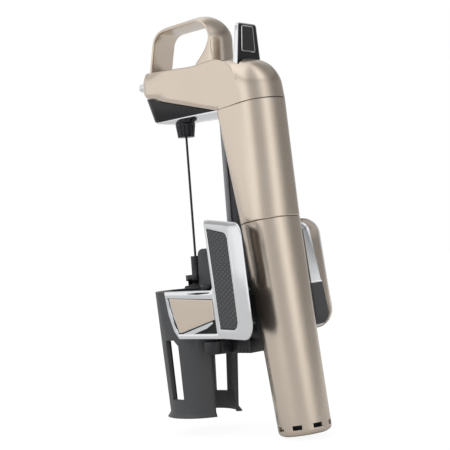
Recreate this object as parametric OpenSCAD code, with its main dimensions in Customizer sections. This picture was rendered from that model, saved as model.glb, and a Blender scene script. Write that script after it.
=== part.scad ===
// Wine preservation dispenser. A head with a carry loop and a thumb trigger carries a hollow
// needle that goes down through a cork. A leaning handle holds the gas capsule in a screwed cup,
// and a sprung clamp that rides on a rail grips the bottle neck.
// Origin: centre of the bottle clamp on the needle axis. +X points to the spout, +Z is up, and
// the left side is +Y. Handle pieces are drawn in the handle's own leaning frame.

/* [Handle] */
// Lean of the handle away from the needle, in degrees
handle_tilt = 6.5; // [5.5:0.25:7]
// Distance from the needle axis to the handle axis at the cup seam
handle_x = 51.1; // [50.6:0.1:53]
// Height of the cup seam above the clamp centre
cup_seam_z = 43.5; // [42:0.5:45]
// Radius of the handle at the cup seam
handle_r = 14.55; // [14.3:0.05:15]
// Length of the upper body shell, from the cup seam to the head seam
body_len = 58; // [57:0.5:59]
// Radius of the round back where the body meets the head
back_r = 13.66; // [13.4:0.02:14]
// Distance from the handle axis back to the centre of the round back
back_shift = 4.3; // [3.8:0.1:4.8]
// Distance from the handle axis to the flat front of the body at the head seam
body_front = 12.4; // [11.8:0.1:12.6]
// Corner radius of the flat front
front_corner_r = 3; // [2.5:0.1:3.5]
// Wall thickness of the head and the body shell
shell_wall = 1.8; // [1.5:0.1:2]
// Width of the shadow gap at each seam
seam_gap = 0.3; // [0.2:0.05:0.4]

/* [Capsule and cup] */
// Radius of the gas capsule
capsule_r = 11; // [10.8:0.05:11.2]
// Overall length of the gas capsule
capsule_len = 88; // [86:0.5:89]
// Radius of the capsule's neck
capsule_neck_r = 4.2; // [3.9:0.1:4.4]
// Length of the capsule's neck below its mouth
capsule_neck_len = 9; // [8:0.5:10]
// Inner radius of the cup
cup_bore_r = 11.5; // [11.4:0.05:11.6]
// Outer radius of the cup at its lower end
cup_end_r = 12.9; // [12.8:0.05:13.3]
// Length of the cup down to the start of its rounded end
cup_len = 101; // [100:0.5:103]
// Thickness of the cup's end wall
cup_floor = 2.6; // [2.2:0.1:3]
// Thickness of the rubber cushion under the capsule
cushion_h = 2.4; // [2:0.1:2.6]
// Number of vents round the cup's lower end
vent_count = 8; // [6:1:10]
// Width of a vent
vent_w = 4.7; // [4:0.1:5]
// Height of a vent
vent_h = 2.2; // [1.8:0.1:2.4]

/* [Head] */
// Height of the head's flat top
head_top = 125; // [124.5:0.25:126]
// Centre of the rounded nose, along X
nose_x = 16.2; // [15:0.2:17]
// Radius of the nose in plan
nose_r = 8.6; // [8.4:0.1:9]
// Radius of the head's rear shoulder, seen from the side
elbow_r = 17.2; // [17:0.1:17.4]
// Radius of the dome over the handle
dome_r = 13.3; // [13.1:0.05:13.5]
// Height of the head's lower edge at the nose
edge_front_z = 111.6; // [111:0.1:112]
// Slope of the head's lower edge, in degrees
edge_slope = 14.2; // [13.8:0.1:14.6]
// Height of the black underside cover's flat bottom
cover_z = 100; // [99.6:0.1:100.2]
// Depth of the bright plate's crown below the cover
plate_crown = 2.5; // [2.2:0.1:2.7]

/* [Carry loop] */
// Width of the strap
loop_w = 15.6; // [15:0.2:16.4]
// Thickness of the strap at its edges
loop_edge = 1.4; // [1.2:0.1:1.8]
// Height of the strap's outer crown above its edges
loop_crown = 2.2; // [1.6:0.1:2.6]
// Height of the loop's top edge
loop_top = 146.6; // [145:0.2:148]
// Outer corner radius of the loop
loop_corner_r = 7.5; // [6:0.5:8]

/* [Spout and needle] */
// Outer radius of the spout tube
spout_r = 2.25; // [2.1:0.05:2.4]
// Bore radius of the spout tube
spout_bore_r = 1.6; // [1.4:0.05:1.7]
// Height of the spout
spout_z = 120; // [119.6:0.1:120.2]
// Reach of the spout's tip from the needle axis
spout_reach = 29.3; // [28.5:0.1:32]
// Radius of the needle
needle_r = 0.6; // [0.55:0.01:0.65]
// Radius of the needle's passage
needle_bore_r = 0.3; // [0.25:0.01:0.35]
// Height of the needle's tip
needle_tip_z = 16; // [15.8:0.1:17]
// Height of the needle hub's lower face
hub_z = 90.4; // [90.2:0.1:91]
// Radius of the hub at its top
hub_r = 5.15; // [4.9:0.05:5.3]
// Radius of the hub at its lower face
hub_end_r = 4.25; // [4.1:0.05:4.4]
// Radius of the hub's stem
stem_r = 3.4; // [3.2:0.05:3.6]

/* [Trigger and valve] */
// Distance from the needle axis back to the trigger pin
trigger_pin_x = 43; // [42.8:0.1:43.3]
// Height of the trigger pin
trigger_pin_z = 108; // [107.8:0.1:108.4]
// Height of the trigger's top
trigger_top = 141.7; // [141:0.1:142.5]
// Width of the trigger at its base
trigger_w = 18.6; // [16.4:0.1:18.8]
// Radius of the pins of the trigger and the clamp
pin_r = 1.5; // [1.4:0.05:1.6]
// Height of the valve's axis above the trigger pin
valve_arm = 9; // [8.9:0.05:9.1]
// Radius of the valve body
valve_r = 4.6; // [4.4:0.1:4.8]

/* [Rail] */
// Distance from the needle axis back to the rail's front face
rail_x = 27.2; // [27:0.1:27.4]
// Half width of the rail's flange
rail_half_w = 4.5; // [4.3:0.1:4.6]
// Depth of the rail's flange
flange_t = 2.3; // [2.1:0.1:2.4]
// Depth of the groove behind the flange
groove_t = 1.7; // [1.6:0.1:1.8]
// Half width of the web in the groove
neck_half_w = 2.6; // [2.4:0.1:2.7]
// Height of the rail's top end
rail_top = 96.8; // [96:0.1:97]
// Height of the foot under the rail
rail_foot_z = -20.2; // [-21:0.1:-19.8]

/* [Clamp] */
// Radius of the bottle neck that the closed pads hold
neck_r = 14.5; // [14.3:0.05:14.6]
// Height of the clamp pads
clamp_h = 24; // [23.6:0.1:24.2]
// Thickness of a clamp pad
pad_t = 1.6; // [1.4:0.1:1.7]
// Distance from the needle axis back to the clamp's hinge pins
hinge_x = 20.5; // [20.3:0.1:20.8]
// Distance from the middle plane to a hinge pin
hinge_y = 14; // [13.9:0.05:14.2]
// Distance from the middle plane to a jaw's outer face
jaw_y = 21; // [20.8:0.1:21.3]
// Thickness of a jaw's outer plate
jaw_t = 1.8; // [1.6:0.1:2]
// Gap between the two closed halves
half_gap = 0.5; // [0.4:0.05:0.7]

/* [Sleeve] */
// Forward shift of the sleeve's axis from the needle axis
sleeve_x = 1.4; // [1.2:0.1:1.6]
// Outer radius of the sleeve at its top
sleeve_top_r = 21; // [20.6:0.1:21.2]
// Outer radius of the sleeve at its foot
sleeve_foot_r = 17.4; // [17.2:0.05:17.7]
// Wall thickness of the sleeve
sleeve_wall = 1.9; // [1.7:0.1:2]
// Height of the sleeve's foot
sleeve_foot_z = -52; // [-54:0.5:-50]
// Angle from the front at which a half ends at the rear
sleeve_end_angle = 151; // [149:0.5:153]

/* [Levers] */
// Splay of a lever from the fore and aft direction, in degrees
lever_splay = 18.4; // [18:0.1:19]
// Distance from the needle axis back to a lever's front edge
lever_x = 27.8; // [27.6:0.1:28.2]
// Width of a lever, front to back
lever_w = 34.2; // [33:0.2:35]
// Lean of a lever's upright edges, as a slope
lever_lean = 0.1; // [0.08:0.005:0.11]
// Height of a lever's front top corner
lever_top = 45.4; // [44:0.2:46]
// Height of a lever's lower edge
lever_foot = -12; // [-12.3:0.05:-11.8]
// Depth of a lever's rim
lever_depth = 6; // [5:0.1:6.2]
// Thickness of a lever's face
lever_face_t = 2.2; // [2:0.1:2.4]
// Corner radius at a lever's back
lever_corner_r = 8; // [6:0.5:9]

/* [Needle guide] */
// Radius of the guide tube
guide_r = 2.5; // [2.3:0.05:2.7]
// Height of the guide tube's top
guide_top = 29; // [28:0.1:29.2]
// Radius of the guide's flange
guide_flange_r = 5.8; // [5.4:0.1:6]
// Height of the upright arm's top
arm_top = 32.5; // [31.5:0.1:33]

/* [Hidden] */
$fn = 64;
hull_fn = 32;
// Clearances: a running fit, a still joint between two pieces, and a gap between soft neighbours
run_gap = 0.05;
still_gap = 0.02;
soft_gap = 0.3;
far = 200;
thin = 0.02;

champagne = [0.80, 0.75, 0.68];
black_plastic = [0.10, 0.10, 0.12];
grey_plastic = [0.27, 0.27, 0.28];
rubber_black = [0.13, 0.13, 0.14];
bright_chrome = [0.80, 0.81, 0.83];
rail_grey = [0.54, 0.55, 0.56];
brass_gold = [0.72, 0.58, 0.32];
steel = [0.66, 0.67, 0.69];

// ---- Handle ----------------------------------------------------------------------------------

// Places its children in the handle's frame: origin on the cup seam, +Z up the handle.
module in_handle() {
    translate([-handle_x, 0, cup_seam_z]) rotate([0, handle_tilt, 0]) children();
}

// X of a point of the handle's frame, at x along the handle's own X and h up the handle
function handle_to_x(x, h) = -handle_x + x * cos(handle_tilt) + h * sin(handle_tilt);
function handle_to_z(x, h) = cup_seam_z - x * sin(handle_tilt) + h * cos(handle_tilt);

// The three rounds of the body's section at the head seam, drawn in by d and h high
module body_section(d, h) {
    translate([-back_shift, 0, 0]) cylinder(r = back_r - d, h = h, $fn = 2 * hull_fn);
    for (side = [-1, 1])
        translate([body_front - front_corner_r, side * (back_r - front_corner_r), 0])
            cylinder(r = front_corner_r - d, h = h, $fn = hull_fn);
}

module body_form(d, low, high) {
    hull() {
        translate([0, 0, low]) cylinder(r = handle_r - d, h = 0.5, $fn = 2 * hull_fn);
        translate([0, 0, high - 0.5]) body_section(d, 0.5);
    }
}

// Radius of the cup's outside at height h below the seam
function cup_r_at(h) = handle_r + (handle_r - cup_end_r) * h / cup_len;

// Distance from the handle axis to the body's front at height h
function body_front_x(h) = handle_r - (handle_r - body_front) * h / body_len;

module body_shell() color(champagne) in_handle() difference() {
    body_form(0, seam_gap, body_len - seam_gap);
    body_form(shell_wall, seam_gap - thin, body_len + thin);
    for (h = screw_heights) translate([0, 0, h]) rotate([0, 90, 0]) cylinder(r = screw_r + 0.1, h = far);
}

module seam_gasket() color(rubber_black) in_handle() difference() {
    translate([0, 0, body_len - seam_gap]) hull() body_section(0.6, seam_gap);
    translate([0, 0, body_len - 1]) hull() body_section(shell_wall + 0.4, 2);
}

module body_screws() color(steel) in_handle() for (h = screw_heights) {
    front = body_front_x(h) - shell_wall;
    translate([front - 1.4, 0, h]) rotate([0, 90, 0]) cylinder(r = 2 * screw_r, h = 1.3);
    translate([front - 0.2, 0, h]) rotate([0, 90, 0]) cylinder(r = screw_r, h = shell_wall + 2);
}

// ---- Regulator, in the handle's frame --------------------------------------------------------

spigot_r = cup_bore_r - 0.08;
spigot_len = 11;
chamber_r = 7;
capsule_foot = -cup_len + cushion_h;
capsule_mouth = capsule_foot + capsule_len;
seal_h = 1.4;
pin_reach = 2.6;
chamber_floor = capsule_mouth + 12.6;
piston_low = chamber_floor + 4;
piston_h = 4;
cap_h = 3;
cap_plug = 2;
regulator_h = chamber_floor + 22;
regulator_r = body_front_x(regulator_h + cap_h) - shell_wall - 0.2;
screw_r = 1;
screw_heights = [regulator_h + cap_h + 4, regulator_h + cap_h + 18];

module regulator_body() color(brass_gold) in_handle() difference() {
    union() {
        translate([0, 0, -spigot_len]) cylinder(r = spigot_r, h = spigot_len + 1);
        translate([0, 0, seam_gap]) cylinder(r = regulator_r, h = regulator_h - seam_gap);
    }
    translate([0, 0, -spigot_len - 1])
        cylinder(r = capsule_neck_r + 0.4, h = 1 + spigot_len + capsule_mouth + seal_h);
    translate([0, 0, capsule_mouth + seal_h - thin]) cylinder(r = capsule_neck_r + 0.4, h = 1.5 + thin);
    translate([0, 0, capsule_mouth]) cylinder(r = 0.9, h = far);
    translate([0, 0, chamber_floor]) cylinder(r = chamber_r, h = far);
}

module regulator_cap() color(brass_gold) difference() {
    in_handle() {
        translate([0, 0, regulator_h]) cylinder(r = regulator_r - 0.4, h = cap_h);
        translate([0, 0, regulator_h - cap_plug]) cylinder(r = chamber_r - still_gap, h = cap_plug + 0.5);
    }
    in_tube() translate([0, 0, -8]) cylinder(r = tube_r + still_gap, h = 20);
}

module regulator_piston() color(steel) in_handle() {
    translate([0, 0, piston_low]) cylinder(r = chamber_r - run_gap, h = piston_h);
    translate([0, 0, chamber_floor + 0.1]) cylinder(r = 2, h = piston_low - chamber_floor);
}

module regulator_spring() color(steel) in_handle() difference() {
    translate([0, 0, piston_low + piston_h])
        cylinder(r = 5.6, h = regulator_h - cap_plug - piston_low - piston_h);
    cylinder(r = 4.6, h = far);
}

module capsule_seal() color(rubber_black) in_handle() translate([0, 0, capsule_mouth + 0.05]) difference() {
    cylinder(r = capsule_neck_r + 0.3, h = seal_h);
    translate([0, 0, -1]) cylinder(r = 1.1, h = seal_h + 2);
}

module piercing_pin() color(steel) in_handle() difference() {
    union() {
        translate([0, 0, capsule_mouth - pin_reach]) cylinder(r1 = 0.6, r2 = 0.95, h = pin_reach);
        translate([0, 0, capsule_mouth - thin]) cylinder(r = 0.95, h = seal_h + 0.2);
        translate([0, 0, capsule_mouth + seal_h + 0.1]) cylinder(r = capsule_neck_r + 0.3, h = 1.3);
    }
    translate([0, 0, capsule_mouth - pin_reach - 1]) cylinder(r = 0.35, h = far);
}

module gas_capsule() color(steel) in_handle() difference() {
    rotate_extrude() capsule_profile(0);
    rotate_extrude() capsule_profile(1.6);
    translate([0, 0, capsule_mouth - pin_reach - 2]) cylinder(r = 1.15, h = far);
}

// Half section of the capsule, drawn in by d: a cylinder with a rounded foot and shoulder
module capsule_profile(d) {
    shoulder = capsule_mouth - capsule_neck_len - (capsule_r - capsule_neck_r);
    intersection() {
        union() {
            translate([0, capsule_foot + d]) square([capsule_neck_r - d, capsule_len - 2 * d]);
            translate([0, capsule_foot + 4]) square([capsule_r - d, shoulder - capsule_foot - 4]);
            translate([0, capsule_foot + d]) square([capsule_r - 4, 6]);
            translate([capsule_r - 4, capsule_foot + 4]) circle(r = 4 - d);
            translate([capsule_neck_r, shoulder]) circle(r = capsule_r - capsule_neck_r - d);
        }
        translate([0, -far]) square([far, 2 * far]);
    }
}

// ---- Cup -------------------------------------------------------------------------------------

end_round = 2.4;

module capsule_cup() color(champagne) in_handle() difference() {
    union() {
        translate([0, 0, -cup_len]) cylinder(r1 = cup_end_r, r2 = handle_r, h = cup_len, $fn = 96);
        translate([0, 0, -cup_len]) rotate_extrude($fn = 96) cup_end_profile();
    }
    translate([0, 0, -cup_len]) cylinder(r = cup_bore_r, h = far);
    for (k = [0 : vent_count - 1]) rotate([0, 0, (k + 0.5) * 360 / vent_count])
        translate([cup_bore_r - 2.4, -vent_w / 2, -cup_len + 0.4]) cube([8, vent_w, vent_h]);
}

// Half section of the cup's closed end: a flat disc with a quarter round
module cup_end_profile() {
    translate([0, -cup_floor]) square([cup_end_r - end_round, cup_floor + thin]);
    intersection() {
        translate([cup_end_r - end_round, 0]) circle(r = end_round);
        translate([0, -end_round]) square([far, end_round + thin]);
    }
}

module cup_cushion() color(rubber_black) in_handle()
    translate([0, 0, -cup_len + 0.05]) difference() {
        cylinder(r = cup_bore_r - 2.6, h = cushion_h - 0.15);
        translate([0, 0, -1]) cylinder(r = 3, h = 9);
    }

// ---- Head ------------------------------------------------------------------------------------

elbow_x = -31;
elbow_z = head_top - elbow_r;
dome_x = elbow_x - elbow_r + 0.5;
dome_z = elbow_z + 0.2;
crown_x = dome_x + 5;
crown_z = dome_z + 3.1;
head_low = cover_z - 8;
// Half width of the head at x, on the straight taper from the round back to the nose
function head_half_w(x) = nose_r + (back_r - nose_r) * (nose_x - x) / (nose_x + 49);

module head_form(d) {
    hull() {
        in_handle() translate([0, 0, body_len - 4]) body_section(d, 4);
        translate([dome_x, 0, dome_z]) sphere(r = dome_r - d, $fn = 2 * hull_fn);
        translate([crown_x, 0, crown_z]) sphere(r = dome_r - d, $fn = 2 * hull_fn);
        translate([elbow_x, 0, elbow_z]) rotate([90, 0, 0])
            cylinder(r = elbow_r - d, h = 2 * (head_half_w(elbow_x) - d), center = true, $fn = 2 * hull_fn);
    }
    hull() {
        translate([elbow_x - 1, d - head_half_w(elbow_x), head_low])
            cube([1, 2 * (head_half_w(elbow_x) - d), head_top - head_low - d - 0.08]);
        translate([nose_x, 0, head_low]) cylinder(r = nose_r - 1.2 - d, h = thin, $fn = 2 * hull_fn);
        translate([nose_x, 0, edge_front_z + 4]) cylinder(r = nose_r - d, h = 5, $fn = 2 * hull_fn);
        translate([nose_x, 0, head_top - d - 1]) cylinder(r = nose_r - 1.1 - d, h = 1, $fn = 2 * hull_fn);
    }
}

// Everything below the head's sloping lower edge, lowered by d
module below_edge(d) {
    translate([14.8, 0, edge_front_z - d]) rotate([0, -edge_slope, 0])
        translate([-far / 2, -far / 2, -far]) cube([far, far, far]);
}

slot_front = -39.9;
slot_back = -47.2;
slot_half_w = trigger_w / 2 + 0.5;

module head_housing() color(champagne) difference() {
    union() {
        difference() {
            head_form(0);
            head_form(shell_wall);
        }
        for (side = [-1, 1]) scale([1, side, 1]) trigger_lug();
    }
    below_edge(0);
    in_handle() translate([-far / 2, -far / 2, body_len - far]) cube([far, far, far]);
    translate([slot_back, -slot_half_w, dome_z + 8]) cube([slot_front - slot_back, 2 * slot_half_w, 20]);
    translate([0, 0, spout_z]) rotate([0, 90, 0]) cylinder(r = spout_r + still_gap, h = far);
    translate([-trigger_pin_x, 0, trigger_pin_z]) rotate([90, 0, 0])
        cylinder(r = pin_r + still_gap, h = 2 * pin_half_len, center = true);
}

pin_half_len = back_r - shell_wall - 0.6;
stem_half_w = 4.5;

module trigger_lug() {
    translate([-trigger_pin_x, stem_half_w + 0.3, trigger_pin_z]) rotate([-90, 0, 0])
        cylinder(r = pin_r + 1.8, h = back_r - shell_wall - stem_half_w - 0.3 + 0.6);
}

module trigger_pin() color(steel) translate([-trigger_pin_x, 0, trigger_pin_z]) rotate([90, 0, 0])
    cylinder(r = pin_r, h = 2 * pin_half_len - 0.2, center = true);

cover_rear = -31.8;
cover_rake = 4.6;
plate_rake = 0.6;
crown_rake = 14;
// Plan outline shared by the underside cover and its plate, drawn in by d and h high
module underside_outline(d, shift, h) {
    translate([nose_x - shift, 0, 0]) cylinder(r = nose_r - d, h = h, $fn = 2 * hull_fn);
    translate([cover_rear, d - head_half_w(cover_rear), 0])
        cube([thin, 2 * (head_half_w(cover_rear) - d), h]);
}

block_front = 11;
block_back = -9;
block_half_w = 6;
block_top = spout_z + spout_r + 0.9;

module underside_cover() color(black_plastic) difference() {
    hull() {
        translate([0, 0, cover_z]) underside_outline(1.6, cover_rake, thin);
        translate([0, 0, edge_front_z + 2]) underside_outline(0.7, 0.6, thin);
    }
    above_edge(0.1);
    translate([block_back - 0.1, -block_half_w - 0.1, cover_z - 1])
        cube([block_front - block_back + 0.2, 2 * block_half_w + 0.2, 30]);
}

// Everything above the head's sloping lower edge, lowered by d
module above_edge(d) {
    translate([14.8, 0, edge_front_z - d - soft_gap]) rotate([0, -edge_slope, 0])
        translate([-far / 2, -far / 2, 0]) cube([far, far, far]);
}

module manifold_plate() color(bright_chrome) difference() {
    hull() {
        translate([0, 0, cover_z - 0.7]) underside_outline(2, cover_rake + plate_rake, 0.7);
        translate([0, 0, cover_z - plate_crown]) intersection() {
            underside_outline(5.6, crown_rake, thin);
            translate([-far / 2, -far / 2, 0]) cube([far, far, thin]);
        }
    }
    translate([0, 0, cover_z - 9]) cylinder(r = stem_r + run_gap, h = 20);
}

stem_top = 107;
spout_root = 3.1;
spout_tip_len = 5;

module manifold_block() color(grey_plastic) difference() {
    translate([block_back, -block_half_w, cover_z])
        cube([block_front - block_back, 2 * block_half_w, block_top - cover_z]);
    translate([0, 0, cover_z - 1]) cylinder(r = stem_r + run_gap, h = stem_top + 1.2 - cover_z);
    translate([0, 0, cover_z]) cylinder(r = 1, h = spout_z - cover_z);
    translate([0, 0, spout_z]) rotate([0, 90, 0]) cylinder(r = 1, h = 4);
    translate([spout_root - 0.1, 0, spout_z]) rotate([0, 90, 0]) cylinder(r = spout_r + still_gap, h = far);
    translate([-far, 0, trigger_pin_z + valve_arm]) rotate([0, 90, 0]) cylinder(r = 0.8, h = far);
}

module spout_tube() color(bright_chrome) translate([0, 0, spout_z]) rotate([0, 90, 0]) difference() {
    union() {
        translate([0, 0, spout_root]) cylinder(r = spout_r, h = spout_reach - spout_tip_len - spout_root);
        translate([0, 0, spout_reach - spout_tip_len - thin])
            cylinder(r = spout_r - 0.1, h = spout_tip_len + thin);
    }
    cylinder(r = spout_bore_r, h = far);
}

// ---- Carry loop ------------------------------------------------------------------------------

loop_front_x = 15.6;
loop_rear_x = -28.6;
loop_top_front_x = 8.9;
loop_top_rear_x = -27.2;
loop_steps = 7;
loop_sides = 6;
loop_foot_flare = 9.6;
loop_flare_h = 11;

// Points of a rounded corner at b on the way from a to c, with radius r
function rounded(a, b, c, r, n) = let (
    u = (a - b) / norm(a - b),
    v = (c - b) / norm(c - b),
    half = acos(u * v) / 2,
    centre = b + (u + v) / norm(u + v) * r / sin(half),
    p = b + u * r / tan(half) - centre,
    q = b + v * r / tan(half) - centre,
    turn = 180 - 2 * half)
    [for (k = [0 : n]) centre + (p * sin(turn * (1 - k / n)) + q * sin(turn * k / n)) / sin(turn)];

loop_front = [loop_front_x, head_top];
loop_rear = [loop_rear_x, head_top];
loop_a = [loop_top_front_x, loop_top];
loop_b = [loop_top_rear_x, loop_top];
rear_fractions = [0.35, 0.5, 0.65, 0.8, 0.92];
loop_path = concat([loop_front],
    rounded(loop_front, loop_a, loop_b, loop_corner_r, loop_steps),
    rounded(loop_a, loop_b, loop_rear, loop_corner_r - 1, loop_steps),
    [for (f = rear_fractions) loop_b + (loop_rear - loop_b) * f], [loop_rear]);
loop_last = len(loop_path) - 1;

// Outward normal of the path at point k; the feet are cut level with the head's top
function loop_normal(k) = k == 0 || k == loop_last ? [k == 0 ? 1 : -1, 0] :
    let (t = loop_path[k + 1] - loop_path[k - 1]) [-t.y, t.x] / -norm(t);

// Extra thickness inside the rear leg, which flares into the head's top
function rear_flare(k) = k <= loop_steps + 2 ? 0 :
    loop_foot_flare * pow(max(0, 1 - (loop_path[k].y - head_top) / loop_flare_h), 2);

// One lens section of the strap: crowned outside, flat inside
function loop_ring(k) = let (p = loop_path[k], n = loop_normal(k)) concat(
    [for (j = [0 : loop_sides]) let (s = 2 * j / loop_sides - 1, m = loop_crown * (1 - s * s))
        [p.x + n.x * m, s * loop_w / 2, p.y + n.y * m]],
    [for (j = [loop_sides : -1 : 0]) let (s = 2 * j / loop_sides - 1, m = -loop_edge - rear_flare(k))
        [p.x + n.x * m, s * loop_w / 2, p.y + n.y * m]]);

module carry_loop() color(champagne) {
    ring = 2 * loop_sides + 2;
    points = [for (k = [0 : loop_last]) each loop_ring(k)];
    sides = [for (k = [0 : loop_last - 1], j = [0 : ring - 1]) each [
        [k * ring + j, k * ring + (j + 1) % ring, (k + 1) * ring + j],
        [k * ring + (j + 1) % ring, (k + 1) * ring + (j + 1) % ring, (k + 1) * ring + j]]];
    ends = [for (j = [1 : ring - 2]) each [
        [0, j + 1, j], [loop_last * ring, loop_last * ring + j, loop_last * ring + j + 1]]];
    polyhedron(points, concat(sides, ends), convexity = 4);
}

// ---- Trigger and valve -----------------------------------------------------------------------

trigger_t = 3.6;
trigger_top_t = 2.4;
trigger_lean = 0.07;
trigger_taper = 2.2;
trigger_base = 118;
trigger_pad_low = 127.9;
pad_recess = 0.7;
stem_front = 1.8;

// X of the trigger's front face at height z
function trigger_front(z) = -42.5 - (z - trigger_base) * trigger_lean;

// X of the blade's back face at height z, on the taper from its thick base to its thin top
function trigger_back(z) = trigger_front(z) - trigger_t
    + (trigger_t - trigger_top_t) * (z - trigger_base) / (trigger_top - trigger_base);

// One level of the trigger's blade: wide in front, with both sides bevelled towards the back
module trigger_level(z, half_w) {
    translate([trigger_front(z) - 1.2, -half_w, z]) cube([1.2, 2 * half_w, thin]);
    translate([trigger_back(z), 2 - half_w, z]) cube([thin, 2 * half_w - 4, thin]);
}

// The pad's form, grown by d on every side for its recess
module trigger_pad_form(d) {
    hull() for (level = [[trigger_pad_low - d, 4.6 + d], [trigger_top - 1.6 + d, 4.6 + d]])
        translate([trigger_back(level[0]) - d, -level[1], level[0]])
            cube([pad_recess + 2 * d, 2 * level[1], thin]);
}

module trigger_lever() color(bright_chrome) difference() {
    union() {
        hull() {
            trigger_level(trigger_base, trigger_w / 2);
            trigger_level(trigger_top - 1.2, trigger_w / 2 - trigger_taper);
            trigger_level(trigger_top, trigger_w / 2 - trigger_taper - 1.2);
        }
        translate([-trigger_pin_x - 2.2, -stem_half_w, trigger_pin_z])
            cube([2.2 + stem_front, 2 * stem_half_w, trigger_base - trigger_pin_z + 1]);
        translate([-trigger_pin_x, 0, trigger_pin_z]) rotate([90, 0, 0])
            cylinder(r = pin_r + 1.7, h = 2 * stem_half_w, center = true);
    }
    trigger_pad_form(0.05);
    translate([-trigger_pin_x, 0, trigger_pin_z]) rotate([90, 0, 0])
        cylinder(r = pin_r + run_gap, h = far, center = true);
}

module trigger_pad() color(rubber_black) trigger_pad_form(0);

valve_z = trigger_pin_z + valve_arm;
plunger_tip = -trigger_pin_x + stem_front + 0.15;
valve_back = -36;
chamber_back = -24;
chamber_front = -12.2;

module valve_body() color(brass_gold) difference() {
    translate([0, 0, valve_z]) rotate([0, 90, 0]) difference() {
        translate([0, 0, valve_back]) cylinder(r = valve_r, h = block_back - 0.1 - valve_back);
        translate([0, 0, -far]) cylinder(r = pin_r + run_gap, h = far + chamber_back + 1);
        translate([0, 0, chamber_back]) cylinder(r = 3, h = chamber_front - chamber_back);
        translate([0, 0, chamber_front - 1]) cylinder(r = 0.8, h = far);
    }
    in_tube() cylinder(r = tube_r + still_gap, h = tube_len + still_gap);
    translate([tube_high.x, 0, tube_high.y]) rotate([0, 90, 0])
        cylinder(r = 0.6, h = chamber_back + 1 - tube_high.x);
}

module valve_plunger() color(steel) translate([0, 0, valve_z]) rotate([0, 90, 0]) {
    translate([0, 0, plunger_tip + 1]) cylinder(r = pin_r, h = chamber_back + 0.5 - plunger_tip);
    translate([0, 0, plunger_tip]) cylinder(r1 = 0.7, r2 = pin_r, h = 1 + thin);
    translate([0, 0, chamber_back + 0.1]) cylinder(r = 3 - run_gap, h = 2);
}

module valve_spring() color(steel) translate([0, 0, valve_z]) rotate([0, 90, 0]) difference() {
    translate([0, 0, chamber_back + 2.1]) cylinder(r = 2.5, h = chamber_front - chamber_back - 2.1);
    translate([0, 0, -far / 2]) cylinder(r = 1.8, h = far);
}

// The gas tube runs straight from the regulator's cap up to the valve's underside
tube_r = 1.3;
tube_bore_r = 0.7;
tube_in_x = 4;
tube_low = [handle_to_x(tube_in_x, regulator_h - 1), handle_to_z(tube_in_x, regulator_h - 1)];
tube_high = [valve_back + tube_r + 0.4, valve_z - valve_r + 1.7];
tube_len = norm(tube_high - tube_low);

module in_tube() {
    translate([tube_low.x, 0, tube_low.y])
        rotate([0, atan2(tube_high.x - tube_low.x, tube_high.y - tube_low.y), 0]) children();
}

module gas_tube() color(steel) in_tube() difference() {
    cylinder(r = tube_r, h = tube_len);
    translate([0, 0, -1]) cylinder(r = tube_bore_r, h = tube_len + 2);
}

// ---- Needle ----------------------------------------------------------------------------------

hub_top = cover_z - plate_crown - 0.15;
flute_count = 14;

module needle_hub() color(black_plastic) difference() {
    union() {
        translate([0, 0, hub_z]) cylinder(r1 = hub_end_r, r2 = hub_r, h = hub_top - hub_z);
        translate([0, 0, hub_top - 1]) cylinder(r = stem_r, h = stem_top - hub_top + 1);
    }
    for (k = [0 : flute_count - 1]) rotate([0, 0, k * 360 / flute_count])
        translate([hub_end_r + 0.55, 0, hub_z - 1]) rotate([0, 4, 0])
            cylinder(r = 0.7, h = hub_top - hub_z, $fn = 16);
    translate([0, 0, hub_z - 1]) cylinder(r = needle_r + still_gap, h = 6);
    translate([0, 0, hub_z + 4]) cylinder(r = 0.5, h = 30);
}

module needle() color(black_plastic) difference() {
    union() {
        translate([0, 0, needle_tip_z + 2])
            cylinder(r = needle_r, h = hub_z + 5 - needle_tip_z - 2, $fn = 24);
        translate([0, 0, needle_tip_z]) cylinder(r1 = 0.35, r2 = needle_r, h = 2, $fn = 24);
    }
    translate([0, 0, needle_tip_z + 4]) cylinder(r = needle_bore_r, h = far, $fn = 24);
}

// ---- Rail ------------------------------------------------------------------------------------

flange_back = rail_x + flange_t;
spine_front = flange_back + groove_t;
spine_half_w = 4.3;
spine_gap = 0.25;
spine_h = screw_heights[1] + 6;
cup_gap = 0.7;
foot_h = 6.8;
rail_low = rail_foot_z + foot_h;
spine_low_h = rail_low - cup_seam_z - 0.9;

module rail() color(rail_grey) {
    translate([-flange_back, -rail_half_w, rail_low])
        cube([flange_t, 2 * rail_half_w, rail_top - rail_low]);
    translate([-spine_front, -neck_half_w, rail_low])
        cube([groove_t, 2 * neck_half_w, rail_top - rail_low]);
}

// Back edge of the spine, a little clear of the body above the seam and of the cup below it
spine_back = [
    [handle_to_x(body_front_x(spine_h) + spine_gap, spine_h),
        handle_to_z(body_front_x(spine_h) + spine_gap, spine_h)],
    [handle_to_x(handle_r + spine_gap, 1), handle_to_z(handle_r + spine_gap, 1)],
    [handle_to_x(handle_r + cup_gap, -1), handle_to_z(handle_r + cup_gap, -1)],
    [handle_to_x(cup_r_at(spine_low_h) + cup_gap, spine_low_h), rail_low]];

module rail_spine() color(grey_plastic) difference() {
    translate([0, spine_half_w, 0]) rotate([90, 0, 0]) linear_extrude(2 * spine_half_w)
        polygon(concat([[-spine_front, rail_low], [-spine_front, spine_back[0].y]], spine_back));
    rail_pin_holes(screw_r + still_gap, far);
    in_handle() for (h = screw_heights) translate([0, 0, h]) rotate([0, 90, 0])
        cylinder(r = screw_r + still_gap, h = body_front_x(h) + 2.3);
}

// Cross pins through the spine, a little in front of its back edge
rail_pin_heights = [-6, 10.8, 28];
module rail_pin_holes(r, length) {
    for (z = rail_pin_heights)
        translate([handle_to_x(handle_r + cup_gap + 2, z - cup_seam_z), 0, z]) rotate([90, 0, 0])
            cylinder(r = r, h = length, center = true, $fn = 24);
}

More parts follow.
